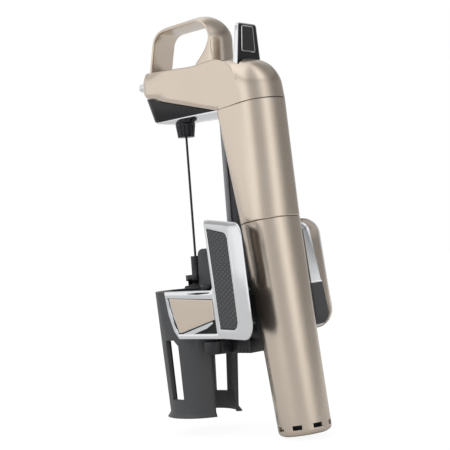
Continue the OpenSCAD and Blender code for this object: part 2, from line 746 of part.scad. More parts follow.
module rail_pins() color(steel) rail_pin_holes(screw_r, 2 * spine_half_w + 0.8);

foot_half_w = 7.4;
foot_back = 38.5;

module rail_foot() color(grey_plastic) difference() {
    translate([-foot_back, -foot_half_w, rail_foot_z])
        cube([foot_back - rail_x, 2 * foot_half_w, foot_h - 0.1]);
    for (side = [-1, 1]) for (x = [-36.5 : 2.2 : -30]) translate([x, side * foot_half_w, rail_foot_z - 1])
        cylinder(r = 0.5, h = foot_h + 2, $fn = 16);
}

// ---- Clamp carriage --------------------------------------------------------------------------

clamp_top = clamp_h / 2;
block_side = 8;
carriage_low = rail_low + 0.2;
bracket_low = rail_foot_z + 0.4;
plate_low = clamp_top + 0.6;
plate_t = 2.2;
boss_r = 4.2;
bracket_front = 16.3;
carriage_back = 33.6;
bracket_back = rail_x - 0.6;
block_front_x = neck_r + pad_t + 1.3;
shoe_t = 1.6;
shoe_half_w = 3;
shoe_half_h = 8;
spring_half_h = 3;

module clamp_carriage() color(grey_plastic) difference() {
    union() {
        translate([-carriage_back, -block_side, carriage_low])
            cube([carriage_back - block_front_x, 2 * block_side, plate_low + plate_t - carriage_low]);
        translate([-bracket_back, -hinge_y, bracket_low])
            cube([bracket_back - bracket_front, 2 * hinge_y, foot_h - 0.4]);
        translate([-bracket_back, -block_side, bracket_low])
            cube([bracket_back - block_front_x, 2 * block_side, foot_h + 2]);
        translate([-hinge_x - boss_r, -hinge_y, plate_low]) cube([2 * boss_r, 2 * hinge_y, plate_t]);
        for (side = [-1, 1]) translate([-hinge_x, side * hinge_y, 0]) {
            translate([0, 0, bracket_low]) cylinder(r = boss_r + 0.8, h = foot_h - 0.4);
            translate([0, 0, plate_low]) cylinder(r = boss_r, h = plate_t);
        }
    }
    translate([-flange_back - run_gap, -rail_half_w - run_gap, -far / 2])
        cube([flange_t + 2 * run_gap, 2 * (rail_half_w + run_gap), far]);
    translate([-spine_front - 1, -neck_half_w - run_gap, -far / 2])
        cube([groove_t + 2, 2 * (neck_half_w + run_gap), far]);
    translate([-far - spine_front + 0.1, -spine_half_w - 0.3, -far / 2])
        cube([far, 2 * spine_half_w + 0.6, far]);
    translate([-rail_x - thin, -shoe_half_w, -shoe_half_h])
        cube([shoe_t + thin, 2 * shoe_half_w, 2 * shoe_half_h]);
    for (side = [-1, 1]) translate([-hinge_x, side * hinge_y, -far / 2])
        cylinder(r = pin_r + still_gap, h = far);
    translate([0, 0, -far / 2]) cylinder(r = neck_r + 1, h = far);
}

module carriage_shoe() color(rubber_black)
    translate([-rail_x + 0.1, -shoe_half_w, -shoe_half_h])
        cube([shoe_t - 0.1, 2 * shoe_half_w, 2 * shoe_half_h]);

module hinge_pins() color(steel) for (side = [-1, 1]) translate([-hinge_x, side * hinge_y, bracket_low + 0.2])
    cylinder(r = pin_r, h = plate_low + plate_t - bracket_low - 0.4);

module clamp_springs() color(steel) for (side = [-1, 1])
    translate([-hinge_x, side * hinge_y, -spring_half_h]) difference() {
        cylinder(r = 2.9, h = 2 * spring_half_h);
        translate([0, 0, -1]) cylinder(r = pin_r + 0.15, h = far);
    }

arm_front = 4;
arm_back = 12;
arm_half_w = 3.2;
stop_z = clamp_top + 0.5;

module guide_arm() color(grey_plastic) union() {
    translate([-arm_back, -arm_half_w, stop_z + 1.4])
        cube([arm_back - arm_front, 2 * arm_half_w, arm_top - 3 - stop_z - 1.4]);
    translate([-(arm_front + arm_back) / 2, 0, arm_top - 3]) rotate([90, 0, 0])
        scale([1, 0.75, 1]) cylinder(r = (arm_back - arm_front) / 2, h = 2 * arm_half_w, center = true);
    translate([-hinge_x, -arm_half_w, plate_low + plate_t])
        cube([hinge_x - arm_back + thin, 2 * arm_half_w, 4]);
}

flange_z = 16.4;
flange_h = 3;

module needle_guide() color(black_plastic) difference() {
    union() {
        translate([0, 0, flange_z]) cylinder(r = guide_r, h = guide_top - flange_z);
        translate([0, 0, flange_z]) cylinder(r = guide_flange_r, h = flange_h);
        translate([-arm_front + 0.05, -2.6, stop_z + 1.5]) cube([8, 5.2, flange_z - stop_z - 1.4]);
    }
    translate([-far - arm_front + 0.02, -far / 2, 0]) cube([far, far, far]);
    translate([0, 0, stop_z]) cylinder(r = needle_r + 0.1, h = far);
    translate([1, -far / 2, stop_z + 2]) cube([2, far, 1.8]);
}

module bottle_stop() color(rubber_black) difference() {
    translate([0, 0, stop_z]) cylinder(r1 = 7, r2 = 6.4, h = 1.4);
    translate([0, 0, 0]) cylinder(r = 2, h = far);
}

// ---- Clamp jaws, drawn for the left side and mirrored ---------------------------------------

function sleeve_r(z) = sleeve_foot_r
    + (sleeve_top_r - sleeve_foot_r) * (z - sleeve_foot_z) / (clamp_top - sleeve_foot_z);

// A wedge of the sleeve between two angles from the front
module sector(from, to, low, high) {
    reach = 60;
    middle = (from + to) / 2;
    translate([sleeve_x, 0, low]) linear_extrude(high - low)
        polygon([[0, 0], reach * [cos(from), sin(from)], reach * [cos(middle), sin(middle)] * 1.4,
            reach * [cos(to), sin(to)]]);
}

band_h = 9.2;
lip_flare = 1.8;
window_from = 71;
window_to = 98;
window_corner = [-3.1, -17.5];
window_slope = 48;
slot_half = 3.4;
slot_top = -14;
pad_r = neck_r + pad_t;
knuckle_r = 4.2;
flat_y = jaw_y - jaw_t;

// The window in the sleeve's side: its top slants up to the front, along the jaw's lower corner
module sleeve_window() difference() {
    sector(window_from, window_to, sleeve_foot_z + band_h, -clamp_top - 0.6);
    translate([window_corner.x, 0, window_corner.y]) rotate([0, -window_slope, 0])
        translate([-far / 2, -far / 2, 0]) cube([far, far, far]);
}

module sleeve_half() difference() {
    union() {
        difference() {
            translate([sleeve_x, 0, sleeve_foot_z])
                cylinder(r1 = sleeve_foot_r, r2 = sleeve_top_r, h = clamp_top - sleeve_foot_z, $fn = 96);
            translate([sleeve_x, 0, sleeve_foot_z - thin])
                cylinder(r1 = sleeve_foot_r - sleeve_wall, r2 = sleeve_r(-clamp_top) - sleeve_wall,
                    h = -clamp_top - sleeve_foot_z, $fn = 96);
            sleeve_window();
            translate([-far / 2, flat_y, -clamp_top - 0.2]) cube([far, far, far]);
        }
        translate([sleeve_x, 0, sleeve_foot_z]) difference() {
            cylinder(r1 = sleeve_foot_r + lip_flare, r2 = sleeve_foot_r, h = 2.5, $fn = 96);
            translate([0, 0, -1]) cylinder(r = sleeve_foot_r - 0.5, h = 5);
        }
        translate([-hinge_x, hinge_y - knuckle_r + 0.8, -clamp_top])
            cube([hinge_x - 11, flat_y - hinge_y + knuckle_r - 0.8, clamp_h]);
        translate([-hinge_x, hinge_y, -clamp_top]) cylinder(r = knuckle_r, h = clamp_h);
    }
    translate([-far / 2, half_gap / 2 - far, -far / 2]) cube([far, far, far]);
    translate([0, slot_half - far, slot_top - far]) cube([far, far, far]);
    intersection() {
        sector(sleeve_end_angle, 209, sleeve_foot_z - 1, clamp_top + 1);
        translate([-far / 2, 0, -far / 2]) cube([far, hinge_y - knuckle_r + 0.8, far]);
    }
    translate([0, 0, -far / 2]) cylinder(r = neck_r + 0.6, h = far);
    translate([0, 0, -clamp_top]) cylinder(r = pad_r + still_gap, h = far);
    translate([-hinge_x, hinge_y, -far / 2]) cylinder(r = pin_r + run_gap, h = far);
    translate([-hinge_x, hinge_y, -spring_half_h - 0.2]) cylinder(r = 3.3, h = 2 * spring_half_h + 0.4);
}

module neck_pad() difference() {
    translate([0, 0, -clamp_top + 0.02]) cylinder(r = pad_r, h = clamp_h - 0.04);
    translate([0, 0, -far / 2]) cylinder(r = neck_r, h = far);
    translate([-far / 2, 2 - far, -far / 2]) cube([far, far, far]);
    translate([-far - 10.6, -far / 2, -far / 2]) cube([far, far, far]);
    for (z = [-9 : 3 : 9]) translate([0, 0, z - 0.3]) difference() {
        cylinder(r = neck_r + 0.5, h = 0.6);
        translate([0, 0, -1]) cylinder(r = neck_r - 1, h = 3);
    }
}

// Places its children in a lever's frame: X back along the face, Y inwards, Z up.
module in_lever() {
    translate([-lever_x, jaw_y, 0]) rotate([0, 0, 180 - lever_splay]) children();
}

// A point of a lever's face, s behind its front edge, at height z on the leaning edges
function lever_point(s, z) = [s + lever_lean * (14 - z), z];

lever_front = 1.2;
lever_drop = 2.2;
lever_edge = 0.8;
lever_back_slant = 9;

// Outline of a lever, w wide: full width at its face, narrower inwards as the back wall slants
module lever_outline(w) hull() {
    translate(lever_point(lever_front, lever_top) + [0.6, -0.6]) circle(r = 0.6, $fn = 16);
    translate(lever_point(lever_front, lever_foot) + [0.6, 0.6]) circle(r = 0.6, $fn = 16);
    translate(lever_point(w - lever_corner_r, lever_top - lever_drop - lever_corner_r))
        circle(r = lever_corner_r, $fn = hull_fn);
    translate(lever_point(w - lever_corner_r + 1, lever_foot + lever_corner_r - 1))
        circle(r = lever_corner_r - 1, $fn = hull_fn);
}

grip_front = 4.2;
grip_back = 23.5;
grip_top = lever_top - 4.4;
grip_foot = lever_foot + 4.6;
grip_corner_r = 4;
grip_depth = 0.9;

module grip_outline() hull() {
    translate(lever_point(grip_front, grip_top) + [0.4, -0.4]) circle(r = 0.4, $fn = 12);
    translate(lever_point(grip_front, grip_foot) + [0.4, 0.4]) circle(r = 0.4, $fn = 12);
    translate(lever_point(grip_back - grip_corner_r, grip_top - grip_corner_r - 1))
        circle(r = grip_corner_r, $fn = hull_fn);
    translate(lever_point(grip_back - grip_corner_r, grip_foot + grip_corner_r))
        circle(r = grip_corner_r, $fn = hull_fn);
}

// An outline of the lever's face made solid, from depth y and t thick
module lever_solid(y, t) {
    translate([0, y + t, 0]) rotate([90, 0, 0]) linear_extrude(t) children();
}

jaw_outline = [[4.9, 12], [3, 0], [0.2, -8.5], [-3.4, -12], [-32, -12], [-30.4, 12]];
inlay_outline = [[1.3, 8.6], [-26.8, 7.3], [-27.4, -2.7], [-4.7, -8.3]];
recess_outline = [[-10.5, -9], [-27.4, -4.9], [-27.8, -10]];
inlay_depth = 0.8;

// A flat outline of the jaw's side made solid, from y = low and t thick
module jaw_solid(low, t) {
    translate([0, low + t, 0]) rotate([90, 0, 0]) linear_extrude(t) children();
}

module jaw_frame() difference() {
    union() {
        in_lever() difference() {
            hull() {
                lever_solid(0, lever_edge) lever_outline(lever_w);
                lever_solid(lever_depth - thin, thin) lever_outline(lever_w - lever_back_slant);
            }
            lever_solid(lever_face_t, lever_depth)
                offset(delta = -1.5) lever_outline(lever_w - lever_back_slant);
        }
        jaw_solid(flat_y, jaw_t) polygon(jaw_outline);
    }
    in_lever() lever_solid(-1, 1 + grip_depth) grip_outline();
    jaw_solid(jaw_y - inlay_depth, 5) polygon(inlay_outline);
    jaw_solid(jaw_y - inlay_depth, 5) polygon(recess_outline);
}

module grip_pad() in_lever() lever_solid(-0.7, grip_depth + 0.68) offset(delta = -0.4) grip_outline();

module inlay_plate() jaw_solid(jaw_y - inlay_depth + 0.02, inlay_depth + 0.1)
    offset(delta = -0.3) polygon(inlay_outline);

module lever_liner() in_lever() lever_solid(lever_face_t + 0.02, 1.8) intersection() {
    offset(delta = -1.7) lever_outline(lever_w - lever_back_slant);
    translate([-far / 2, lever_foot]) square([far, clamp_h]);
}

module mirrored(side) {
    if (side == "left") children();
    else mirror([0, 1, 0]) children();
}

head_housing();
carry_loop();
underside_cover();
manifold_plate();
manifold_block();
spout_tube();
valve_body();
valve_spring();
gas_tube();
body_shell();
seam_gasket();
rail();
rail_spine();
rail_foot();
rail_pins();
body_screws();
regulator_body();
regulator_cap();
regulator_spring();
piercing_pin();
capsule_seal();
trigger_pin();
trigger_lever();
trigger_pad();
valve_plunger();
regulator_piston();
needle_hub();
needle();
clamp_carriage();
carriage_shoe();
guide_arm();
needle_guide();
bottle_stop();
hinge_pins();
clamp_springs();
color(grey_plastic) mirrored("left") sleeve_half();  // left_sleeve_half
color(grey_plastic) mirrored("right") sleeve_half();  // right_sleeve_half
color(bright_chrome) mirrored("left") jaw_frame();  // left_jaw_frame
color(bright_chrome) mirrored("right") jaw_frame();  // right_jaw_frame
color(rubber_black) mirrored("left") grip_pad();  // left_grip_pad
color(rubber_black) mirrored("right") grip_pad();  // right_grip_pad
color(champagne) mirrored("left") inlay_plate();  // left_inlay_plate
color(champagne) mirrored("right") inlay_plate();  // right_inlay_plate
color(grey_plastic) mirrored("left") lever_liner();  // left_lever_liner
color(grey_plastic) mirrored("right") lever_liner();  // right_lever_liner
color(rubber_black) mirrored("left") neck_pad();  // left_neck_pad
color(rubber_black) mirrored("right") neck_pad();  // right_neck_pad
gas_capsule();
capsule_cup();
cup_cushion();
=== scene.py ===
import math

import bmesh
import bpy
import numpy as np
from mathutils import Matrix, Vector


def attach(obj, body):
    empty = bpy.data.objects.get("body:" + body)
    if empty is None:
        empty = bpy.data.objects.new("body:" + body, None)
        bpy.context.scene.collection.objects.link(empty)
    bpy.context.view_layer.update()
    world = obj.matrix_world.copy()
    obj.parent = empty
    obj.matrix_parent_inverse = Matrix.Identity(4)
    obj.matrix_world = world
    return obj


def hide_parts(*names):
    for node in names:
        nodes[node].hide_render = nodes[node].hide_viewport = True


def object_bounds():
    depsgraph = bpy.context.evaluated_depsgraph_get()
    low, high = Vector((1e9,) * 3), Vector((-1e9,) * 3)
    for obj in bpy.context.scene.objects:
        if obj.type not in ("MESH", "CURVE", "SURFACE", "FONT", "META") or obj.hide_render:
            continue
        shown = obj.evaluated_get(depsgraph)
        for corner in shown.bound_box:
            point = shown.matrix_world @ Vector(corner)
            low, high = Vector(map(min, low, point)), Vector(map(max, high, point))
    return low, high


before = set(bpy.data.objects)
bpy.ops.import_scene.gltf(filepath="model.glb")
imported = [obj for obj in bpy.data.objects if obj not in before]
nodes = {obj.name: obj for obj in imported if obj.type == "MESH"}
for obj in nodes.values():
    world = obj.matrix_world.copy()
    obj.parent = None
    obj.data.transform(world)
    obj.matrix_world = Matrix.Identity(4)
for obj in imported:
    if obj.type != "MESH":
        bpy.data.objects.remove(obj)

cad_box = [list(corner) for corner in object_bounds()]

# ---- Studio ----
# A product stand in front of white paper: a camera with a long lens at the photograph's place, a
# ring of soft white screens with grey gaps that the metal mirrors, and a pale paper floor.

scene = bpy.context.scene
scene.view_settings.view_transform = "Standard"


def linear(code):
    """Turns an sRGB hex colour into linear light: a straight line near black, else a 2.4 power."""
    value = np.array([int(code[k:k + 2], 16) / 255 for k in (1, 3, 5)])
    value = np.where(value <= 0.04045, value / 12.92, ((value + 0.055) / 1.055) ** 2.4)
    return (*value.tolist(), 1.0)


def add(tree, kind, inputs=None, **settings):
    """Adds one node, sets its properties and input values, and links the inputs that are sockets.
    Inputs go by number where names repeat: 0 of a Mix is its factor, 6 and 7 are its colours; 1 to
    4 of a Map Range are the low and high end before and after."""
    made = tree.nodes.new(kind)
    for name, value in settings.items():
        setattr(made, name, value)
    for name, value in (inputs or {}).items():
        if isinstance(value, bpy.types.NodeSocket):
            tree.links.new(value, made.inputs[name])
        else:
            made.inputs[name].default_value = value
    return made


# Degrees: the camera's turn from straight ahead, its look upwards and its lean
turn, lift, roll = math.radians(40.89), math.radians(0.85), math.radians(4.38)
eye = Vector((-0.40926, 0.44748, 0.03476))
ahead = Vector((math.sin(turn) * math.cos(lift), -math.cos(turn) * math.cos(lift), math.sin(lift)))
level = Vector((-math.cos(turn), -math.sin(turn), 0))
above = level.cross(ahead)
image_right = math.cos(roll) * level - math.sin(roll) * above
image_up = math.sin(roll) * level + math.cos(roll) * above
camera_data = bpy.data.cameras.new("camera")
camera_data.sensor_width = 36
camera_data.lens = 93.96
camera_data.clip_start = 0.01
camera = bpy.data.objects.new("camera", camera_data)
camera.matrix_world = Matrix((
    (image_right.x, image_up.x, -ahead.x, eye.x),
    (image_right.y, image_up.y, -ahead.y, eye.y),
    (image_right.z, image_up.z, -ahead.z, eye.z),
    (0, 0, 0, 1)))
scene.collection.objects.link(camera)
scene.camera = camera

world = bpy.data.worlds.new("paper_white")
scene.world = world
world.use_nodes = True
tree = world.node_tree
tree.nodes.clear()
to_camera, to_right = (-0.6546, 0.756, 0), (-0.756, -0.6546, 0)
path = add(tree, "ShaderNodeLightPath")
way = add(tree, "ShaderNodeTexCoord").outputs["Generated"]
toward = add(tree, "ShaderNodeVectorMath", {0: way, 1: to_camera}, operation="DOT_PRODUCT")
aside = add(tree, "ShaderNodeVectorMath", {0: way, 1: to_right}, operation="DOT_PRODUCT")
angle = add(tree, "ShaderNodeMath", {
    0: aside.outputs["Value"], 1: toward.outputs["Value"]}, operation="ARCTAN2")
share = add(tree, "ShaderNodeMapRange", {0: angle.outputs[0], 1: -math.pi, 2: math.pi})
screens = add(tree, "ShaderNodeValToRGB", {0: share.outputs[0]})
rise = add(tree, "ShaderNodeSeparateXYZ", {0: way}).outputs["Z"]
height = add(tree, "ShaderNodeMapRange", {0: rise, 1: -1.0, 2: 1.0})
gaps = add(tree, "ShaderNodeValToRGB", {0: height.outputs[0]})


def fill_ramp(ramp, stops):
    """Puts stops of place (from 0 to 1) and grey on a colour ramp that starts with two stops."""
    marks = ramp.color_ramp.elements
    for k, (place, grey) in enumerate(stops):
        if k == 0:
            mark = marks[0]
        elif k == len(stops) - 1:
            mark = marks[-1]
        else:
            mark = marks.new(place)
        mark.position = place
        mark.color = (grey, grey, grey, 1)


# Brightness of the ring of screens, by degrees from the camera's side towards the picture's right
ring = (
    (-180, 0.95), (-144, 0.8), (-126, 0.72), (-117, 0.78), (-109, 1.0), (-97, 1.0), (-81, 0.97),
    (-67, 1.15), (-53, 1.25), (-41, 1.1), (-29, 0.66), (-17, 0.54), (-6, 0.54), (6, 0.6),
    (17, 0.9), (29, 1.25), (41, 1.2), (53, 0.8), (67, 0.45), (81, 0.3), (97, 0.28), (116, 0.3),
    (144, 0.33), (165, 0.6), (180, 0.95))
# The same ring by the sine of the height: a grey gap between the upright screens and the top one
profile = (
    (-1, 0.6), (-0.3, 0.6), (-0.2, 1), (0.34, 1), (0.4, 0.6), (0.5, 0.6), (0.56, 1.05), (1, 1.15))
fill_ramp(screens, [((degrees + 180) / 360, grey) for degrees, grey in ring])
fill_ramp(gaps, [((sine + 1) / 2, grey) for sine, grey in profile])
grounded = add(tree, "ShaderNodeMix", {
    0: 1.0, 6: screens.outputs[0], 7: gaps.outputs[0]}, data_type="RGBA", blend_type="MULTIPLY")
lit = add(tree, "ShaderNodeBackground", {"Color": grounded.outputs[2], "Strength": 1.0})
white = add(tree, "ShaderNodeBackground", {"Color": (1, 1, 1, 1), "Strength": 1.0})
shown = add(tree, "ShaderNodeMixShader", {
    0: path.outputs["Is Camera Ray"], 1: lit.outputs[0], 2: white.outputs[0]})
add(tree, "ShaderNodeOutputWorld", {"Surface": shown.outputs[0]})


def material(name):
    """Makes an empty node material and gives its node tree and its output node."""
    made = bpy.data.materials.new(name)
    made.use_nodes = True
    made.node_tree.nodes.clear()
    return made, made.node_tree, made.node_tree.nodes.new("ShaderNodeOutputMaterial")


def paint_over(piece, finish):
    """Gives a piece this one material."""
    piece.data.materials.clear()
    piece.data.materials.append(finish)


# The paper is overlit: the camera sees mostly its glow, so only the nearest shadow is left
glow_strength, glow_share = 1.12, 0.82
paper, tree, out = material("pale_paper")
path = add(tree, "ShaderNodeLightPath")
sheet = add(tree, "ShaderNodeBsdfDiffuse", {"Color": linear("#f2f2f2")})
glow = add(tree, "ShaderNodeEmission", {"Color": (1, 1, 1, 1), "Strength": glow_strength})
part_shown = add(tree, "ShaderNodeMath", {
    0: path.outputs["Is Camera Ray"], 1: glow_share}, operation="MULTIPLY")
mixed = add(tree, "ShaderNodeMixShader", {
    0: part_shown.outputs[0], 1: sheet.outputs[0], 2: glow.outputs[0]})
tree.links.new(mixed.outputs[0], out.inputs["Surface"])

floor_reach, floor_drop = 3.0, 0.0006
floor_z = cad_box[0][2] - floor_drop
floor_mesh = bpy.data.meshes.new("paper_floor")
floor_mesh.from_pydata([
    (-floor_reach, -floor_reach, floor_z), (floor_reach, -floor_reach, floor_z),
    (floor_reach, floor_reach, floor_z), (-floor_reach, floor_reach, floor_z)], [], [(0, 1, 2, 3)])
floor = bpy.data.objects.new("paper_floor", floor_mesh)
scene.collection.objects.link(floor)
paint_over(floor, paper)

# ---- Painted housings ----
# The head, the carry loop, the body and the capsule cup are zinc and aluminium shells under one
# champagne lacquer, sprayed with fine metal flake and baked, then closed with a clear coat.


def lacquer(name, base, deep):
    """Baked lacquer over metal flake, closed with clear: a satin metal sheen, faintly mottled in
    patches of two centimetres, with a soft grain. The flakes are a fifth of a millimetre wide,
    coarser than real ones, so that the grain shows."""
    made, tree, out = material(name)
    place = add(tree, "ShaderNodeTexCoord").outputs["Object"]
    cloud = add(tree, "ShaderNodeTexNoise", {"Vector": place, "Scale": 45.0, "Detail": 2.0})
    flake = add(tree, "ShaderNodeTexVoronoi", {"Vector": place, "Scale": 5200.0})
    tone = add(tree, "ShaderNodeMix", {
        0: cloud.outputs["Fac"], 6: linear(base), 7: linear(deep)}, data_type="RGBA")
    sparkle = add(tree, "ShaderNodeMapRange", {
        0: flake.outputs["Distance"], 1: 0.0, 2: 0.7, 3: 0.19, 4: 0.26})
    grain = add(tree, "ShaderNodeBump", {
        "Strength": 0.06, "Distance": 0.0002, "Height": flake.outputs["Distance"]})
    skin = add(tree, "ShaderNodeBsdfPrincipled", {
        "Base Color": tone.outputs[2], "Metallic": 0.94, "Roughness": sparkle.outputs[0],
        "Normal": grain.outputs[0], "Coat Weight": 0.25, "Coat Roughness": 0.12})
    tree.links.new(skin.outputs[0], out.inputs["Surface"])
    return made


champagne = lacquer("champagne_lacquer", "#dccebf", "#d6c8b8")


def put(name, mesh, finish, body, replaced):
    """Puts a mesh in the scene as one piece, with its material, the body it rides with and the solids
    it stands for."""
    made = bpy.data.objects.new(name, mesh)
    scene.collection.objects.link(made)
    paint_over(made, finish)
    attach(made, body)
    if replaced:
        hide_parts(*replaced)
    return made


mm = 0.001  # metres
end_inset = 0.04  # how much narrower the ring next to a closed end is
skin_merge = 2e-6  # metres within which points of a skin are one


def shape(name, rings, body, finish, replaced=(), sharp=34):
    """Joins rings of points in millimetres into one skin: ring k's point j meets ring k + 1's
    point j, each end narrows a little and closes on its own middle, and the faces point outwards.
    Edges that turn by more than sharp degrees stay crisp."""
    rings = np.asarray(rings, float)
    first, last = rings[:1], rings[-1:]
    rings = np.concatenate([
        first + end_inset * (first.mean(1, keepdims=True) - first), rings,
        last + end_inset * (last.mean(1, keepdims=True) - last)])
    count, around = rings.shape[:2]
    points = np.vstack([rings.reshape(-1, 3), rings[0].mean(0), rings[-1].mean(0)])
    k, j = np.meshgrid(np.arange(count - 1), np.arange(around), indexing="ij")
    a, b = k * around + j, k * around + (j + 1) % around
    faces = np.stack([a, b, b + around, a + around], -1).reshape(-1, 4).tolist()
    j = np.arange(around)
    n = (j + 1) % around
    last = (count - 1) * around
    faces += np.stack([n, j, np.full(around, len(points) - 2)], -1).tolist()
    faces += np.stack([last + j, last + n, np.full(around, len(points) - 1)], -1).tolist()
    mesh = bpy.data.meshes.new(name)
    mesh.from_pydata((points * mm).tolist(), [], faces)
    work = bmesh.new()
    work.from_mesh(mesh)
    bmesh.ops.remove_doubles(work, verts=work.verts, dist=skin_merge)
    bmesh.ops.recalc_face_normals(work, faces=work.faces)
    if work.calc_volume(signed=True) < 0:
        bmesh.ops.reverse_faces(work, faces=work.faces)
    work.to_mesh(mesh)
    work.free()
    mesh.polygons.foreach_set("use_smooth", np.ones(len(mesh.polygons), bool))
    mesh.set_sharp_from_angle(angle=math.radians(sharp))
    return put(name, mesh, finish, body, replaced)


# The handle leans back from the needle; its own axis runs up from the cup's seam.
lean = math.radians(6.5)
handle_foot = np.array([-51.1, 0, 43.5])
handle_up = np.array([math.sin(lean), 0, math.cos(lean)])
handle_fore = np.array([math.cos(lean), 0, -math.sin(lean)])
side_way = np.array([0, 1, 0])


def on_handle(x, y, h):
    """A point x in front of the handle's axis, y to the left and h above the cup's seam."""
    x, y, h = np.broadcast_arrays(np.asarray(x, float), y, h)
    return (handle_foot + x[..., None] * handle_fore + y[..., None] * side_way
            + h[..., None] * handle_up)


def smooth(value, low, high):
    """Rises from 0 at low to 1 at high along a cubic with level ends."""
    t = np.clip((value - low) / (high - low), 0, 1)
    return t * t * (3 - 2 * t)


# ---- Head housing ----
# A die-cast arm that runs from the rounded nose back over the handle: flat sides meet the top in
# a crisp edge, and that edge carries on round the shoulder as the top swells into a round back.

# The D section at the seam: its round back and how far that is set back, flat front, corners
back_r, back_shift, front_x, corner_r = 13.66, 4.3, 12.4, 3.0
seam_h = 58.0  # the head's seam, above the cup's
# The arm's top, the middle and half width of its nose, and the length over which it narrows
top_z, nose_x, nose_half, taper = 125.0, 16.2, 8.6, 65.2
# A point of the lower edge, and how that edge rises forwards
under_x, under_z, under_slope = 14.8, 111.6, math.tan(math.radians(14.2))
elbow = np.array([-31.0, 107.8])  # x and z of the middle of the shoulder's bend
corner = np.array([-32.2, 99.72])  # x and z of the point where head, body and cover meet
# The shoulder's radius, how much that grows over the bend, and the angle at which the bend starts
shoulder_r, shoulder_more, shoulder_from = 16.95, 0.25, math.radians(173.5)
# How the arm's top slopes, how fast the swell fades round the bend, how far the nose's top dips
top_slope, swell_pace, nose_dip = 0.06, 1.12, 2
crease_soft, chamfer_deep, chamfer_high = 0.9, 0.85, 1.7  # the rounded edges of the flat sides
# Parts of the way up the side, closer together near both edges
side_steps = np.concatenate([
    np.linspace(0, 0.09, 7)[:-1], np.linspace(0.09, 0.95, 18), np.linspace(0.95, 1, 9)[1:]])


def head_width(x):
    """Half the head's width: a straight taper from the round back to the nose."""
    return np.minimum(nose_half + (back_r - nose_half) * (nose_x - x) / taper, back_r)


def fall(distance, r):
    """How far an edge rounded by a radius r falls back at a distance from it: r less the root of
    r squared less the square of what the distance lacks to r."""
    return r - np.sqrt(np.maximum(r ** 2 - np.maximum(r - distance, 0) ** 2, 0))


def head_lines():
    """The crease and the lower edge as points (x, z), and for each the way in which the crown
    swells and how far. The crease rises from the seam, bends round the elbow and follows the arm's
    top, which slopes up to the nose and levels off at the shoulder. The swell is a squared cosine
    of the bend's angle, and blend says how far the lower edge has turned from a rounded corner
    into a chamfer, which takes it 14 rows of the bend."""
    rise = np.linspace(0, 1, 9)[:-1]
    bend = np.linspace(shoulder_from, math.pi / 2, 44)
    arm = np.linspace(elbow[0], nose_x, 40)[1:]
    bend_r = shoulder_r + shoulder_more * (shoulder_from - bend) / (shoulder_from - math.pi / 2)
    turned = elbow + bend_r[:, None] * np.stack([np.cos(bend), np.sin(bend)], -1)
    foot = on_handle(-back_shift, 0, seam_h)[[0, 2]]
    crease = np.vstack([
        foot + (turned[0] - foot) * rise[:, None],
        turned,
        np.stack([arm, top_z + top_slope * arm * smooth(arm, -31, -12)], -1)])
    low = np.vstack([
        np.repeat(corner[None], len(rise) + len(bend), 0),
        np.stack([arm, under_z + (arm - under_x) * under_slope], -1)])
    outward = np.concatenate([
        np.full(len(rise), shoulder_from), bend, np.full(len(arm), math.pi / 2)])
    flat_from = math.pi - math.pi / 2 / swell_pace
    swell = np.cos(swell_pace * (math.pi - np.maximum(outward, flat_from))) ** 2
    swell = back_r * np.where(outward < flat_from + 0.002, 0, swell)
    swell[:len(rise)] = back_r + (swell[len(rise)] - back_r) * rise
    blend = np.clip(np.arange(len(low)) / (len(rise) + 14), 0, 1)
    return crease, low, outward, swell, blend


def head_row(crease, low, outward, swell, blend):
    """One row from the lower edge up the flat side to the crease and over the crown to the middle
    plane. The side keeps the head's width less its rounded edges, and near the nose draws in as a
    square above 119 and below 115.5. The crown is the arc of a circle through both creases, filled
    out round the shoulder to one less the 2.8th power of the distance from the middle plane."""
    span = np.linalg.norm(crease - low)
    spot = low + (crease - low) * side_steps[:, None]
    wide = head_width(spot[:, 0])
    soft = crease_soft * (1 - swell / back_r)
    if soft > 0.01:
        wide = wide - fall(span * (1 - side_steps), soft)
    from_edge = span * side_steps
    chamfer = chamfer_deep * np.clip(1 - from_edge / chamfer_high, 0, 1)
    wide = wide - (fall(from_edge, corner_r) * (1 - blend) + chamfer * blend)
    drawn_in = (1.1 * np.clip((spot[:, 1] - 119) / 6, 0, 1) ** 2
                + 0.9 * np.clip((115.5 - spot[:, 1]) / 4, 0, 1) ** 2)
    wide = wide - smooth(spot[0, 0], -2, nose_x) * drawn_in
    half = 2 * math.atan(max(swell, 1e-3) / wide[-1])
    phi = np.linspace(half, 0, 20)[1:]
    aside = wide[-1] * np.sin(phi) / math.sin(half)
    up = swell * (np.cos(phi) - math.cos(half)) / (1 - math.cos(half))
    fuller = swell * (1 - np.clip(aside / wide[-1], 0, 1) ** 2.8)
    share = smooth(outward, 1.66, 2.0) * (1 - smooth(outward, 2.6, 2.95))
    up = up + np.maximum(fuller - up, 0) * share
    crown = crease + up[:, None] * np.array([math.cos(outward), math.sin(outward)])
    return np.vstack([
        np.stack([spot[:, 0], wide, spot[:, 1]], -1),
        np.stack([crown[:, 0], aside, crown[:, 1]], -1)])


def nose_row(last, psi):
    """The last row of the arm turned by an angle psi round the nose's upright axis: the lower
    edge keeps rising, and the top edge dips as one less the angle's cosine."""
    row = last.copy()
    edge = len(side_steps)
    row[:, 0] = nose_x + last[:, 1] * math.sin(psi)
    row[:, 1] = last[:, 1] * math.cos(psi)
    lifted = (row[:, 0] - nose_x) * under_slope * np.clip((top_z - last[:, 2]) / 13, 0, 1)
    dip = nose_dip * (1 - math.cos(psi)) * np.clip((last[:, 2] - 117) / 9, 0, 1)
    row[:, 2] = last[:, 2] + lifted - dip
    row[edge:, 0] = nose_x + last[edge - 1, 1] * math.sin(psi)
    return row


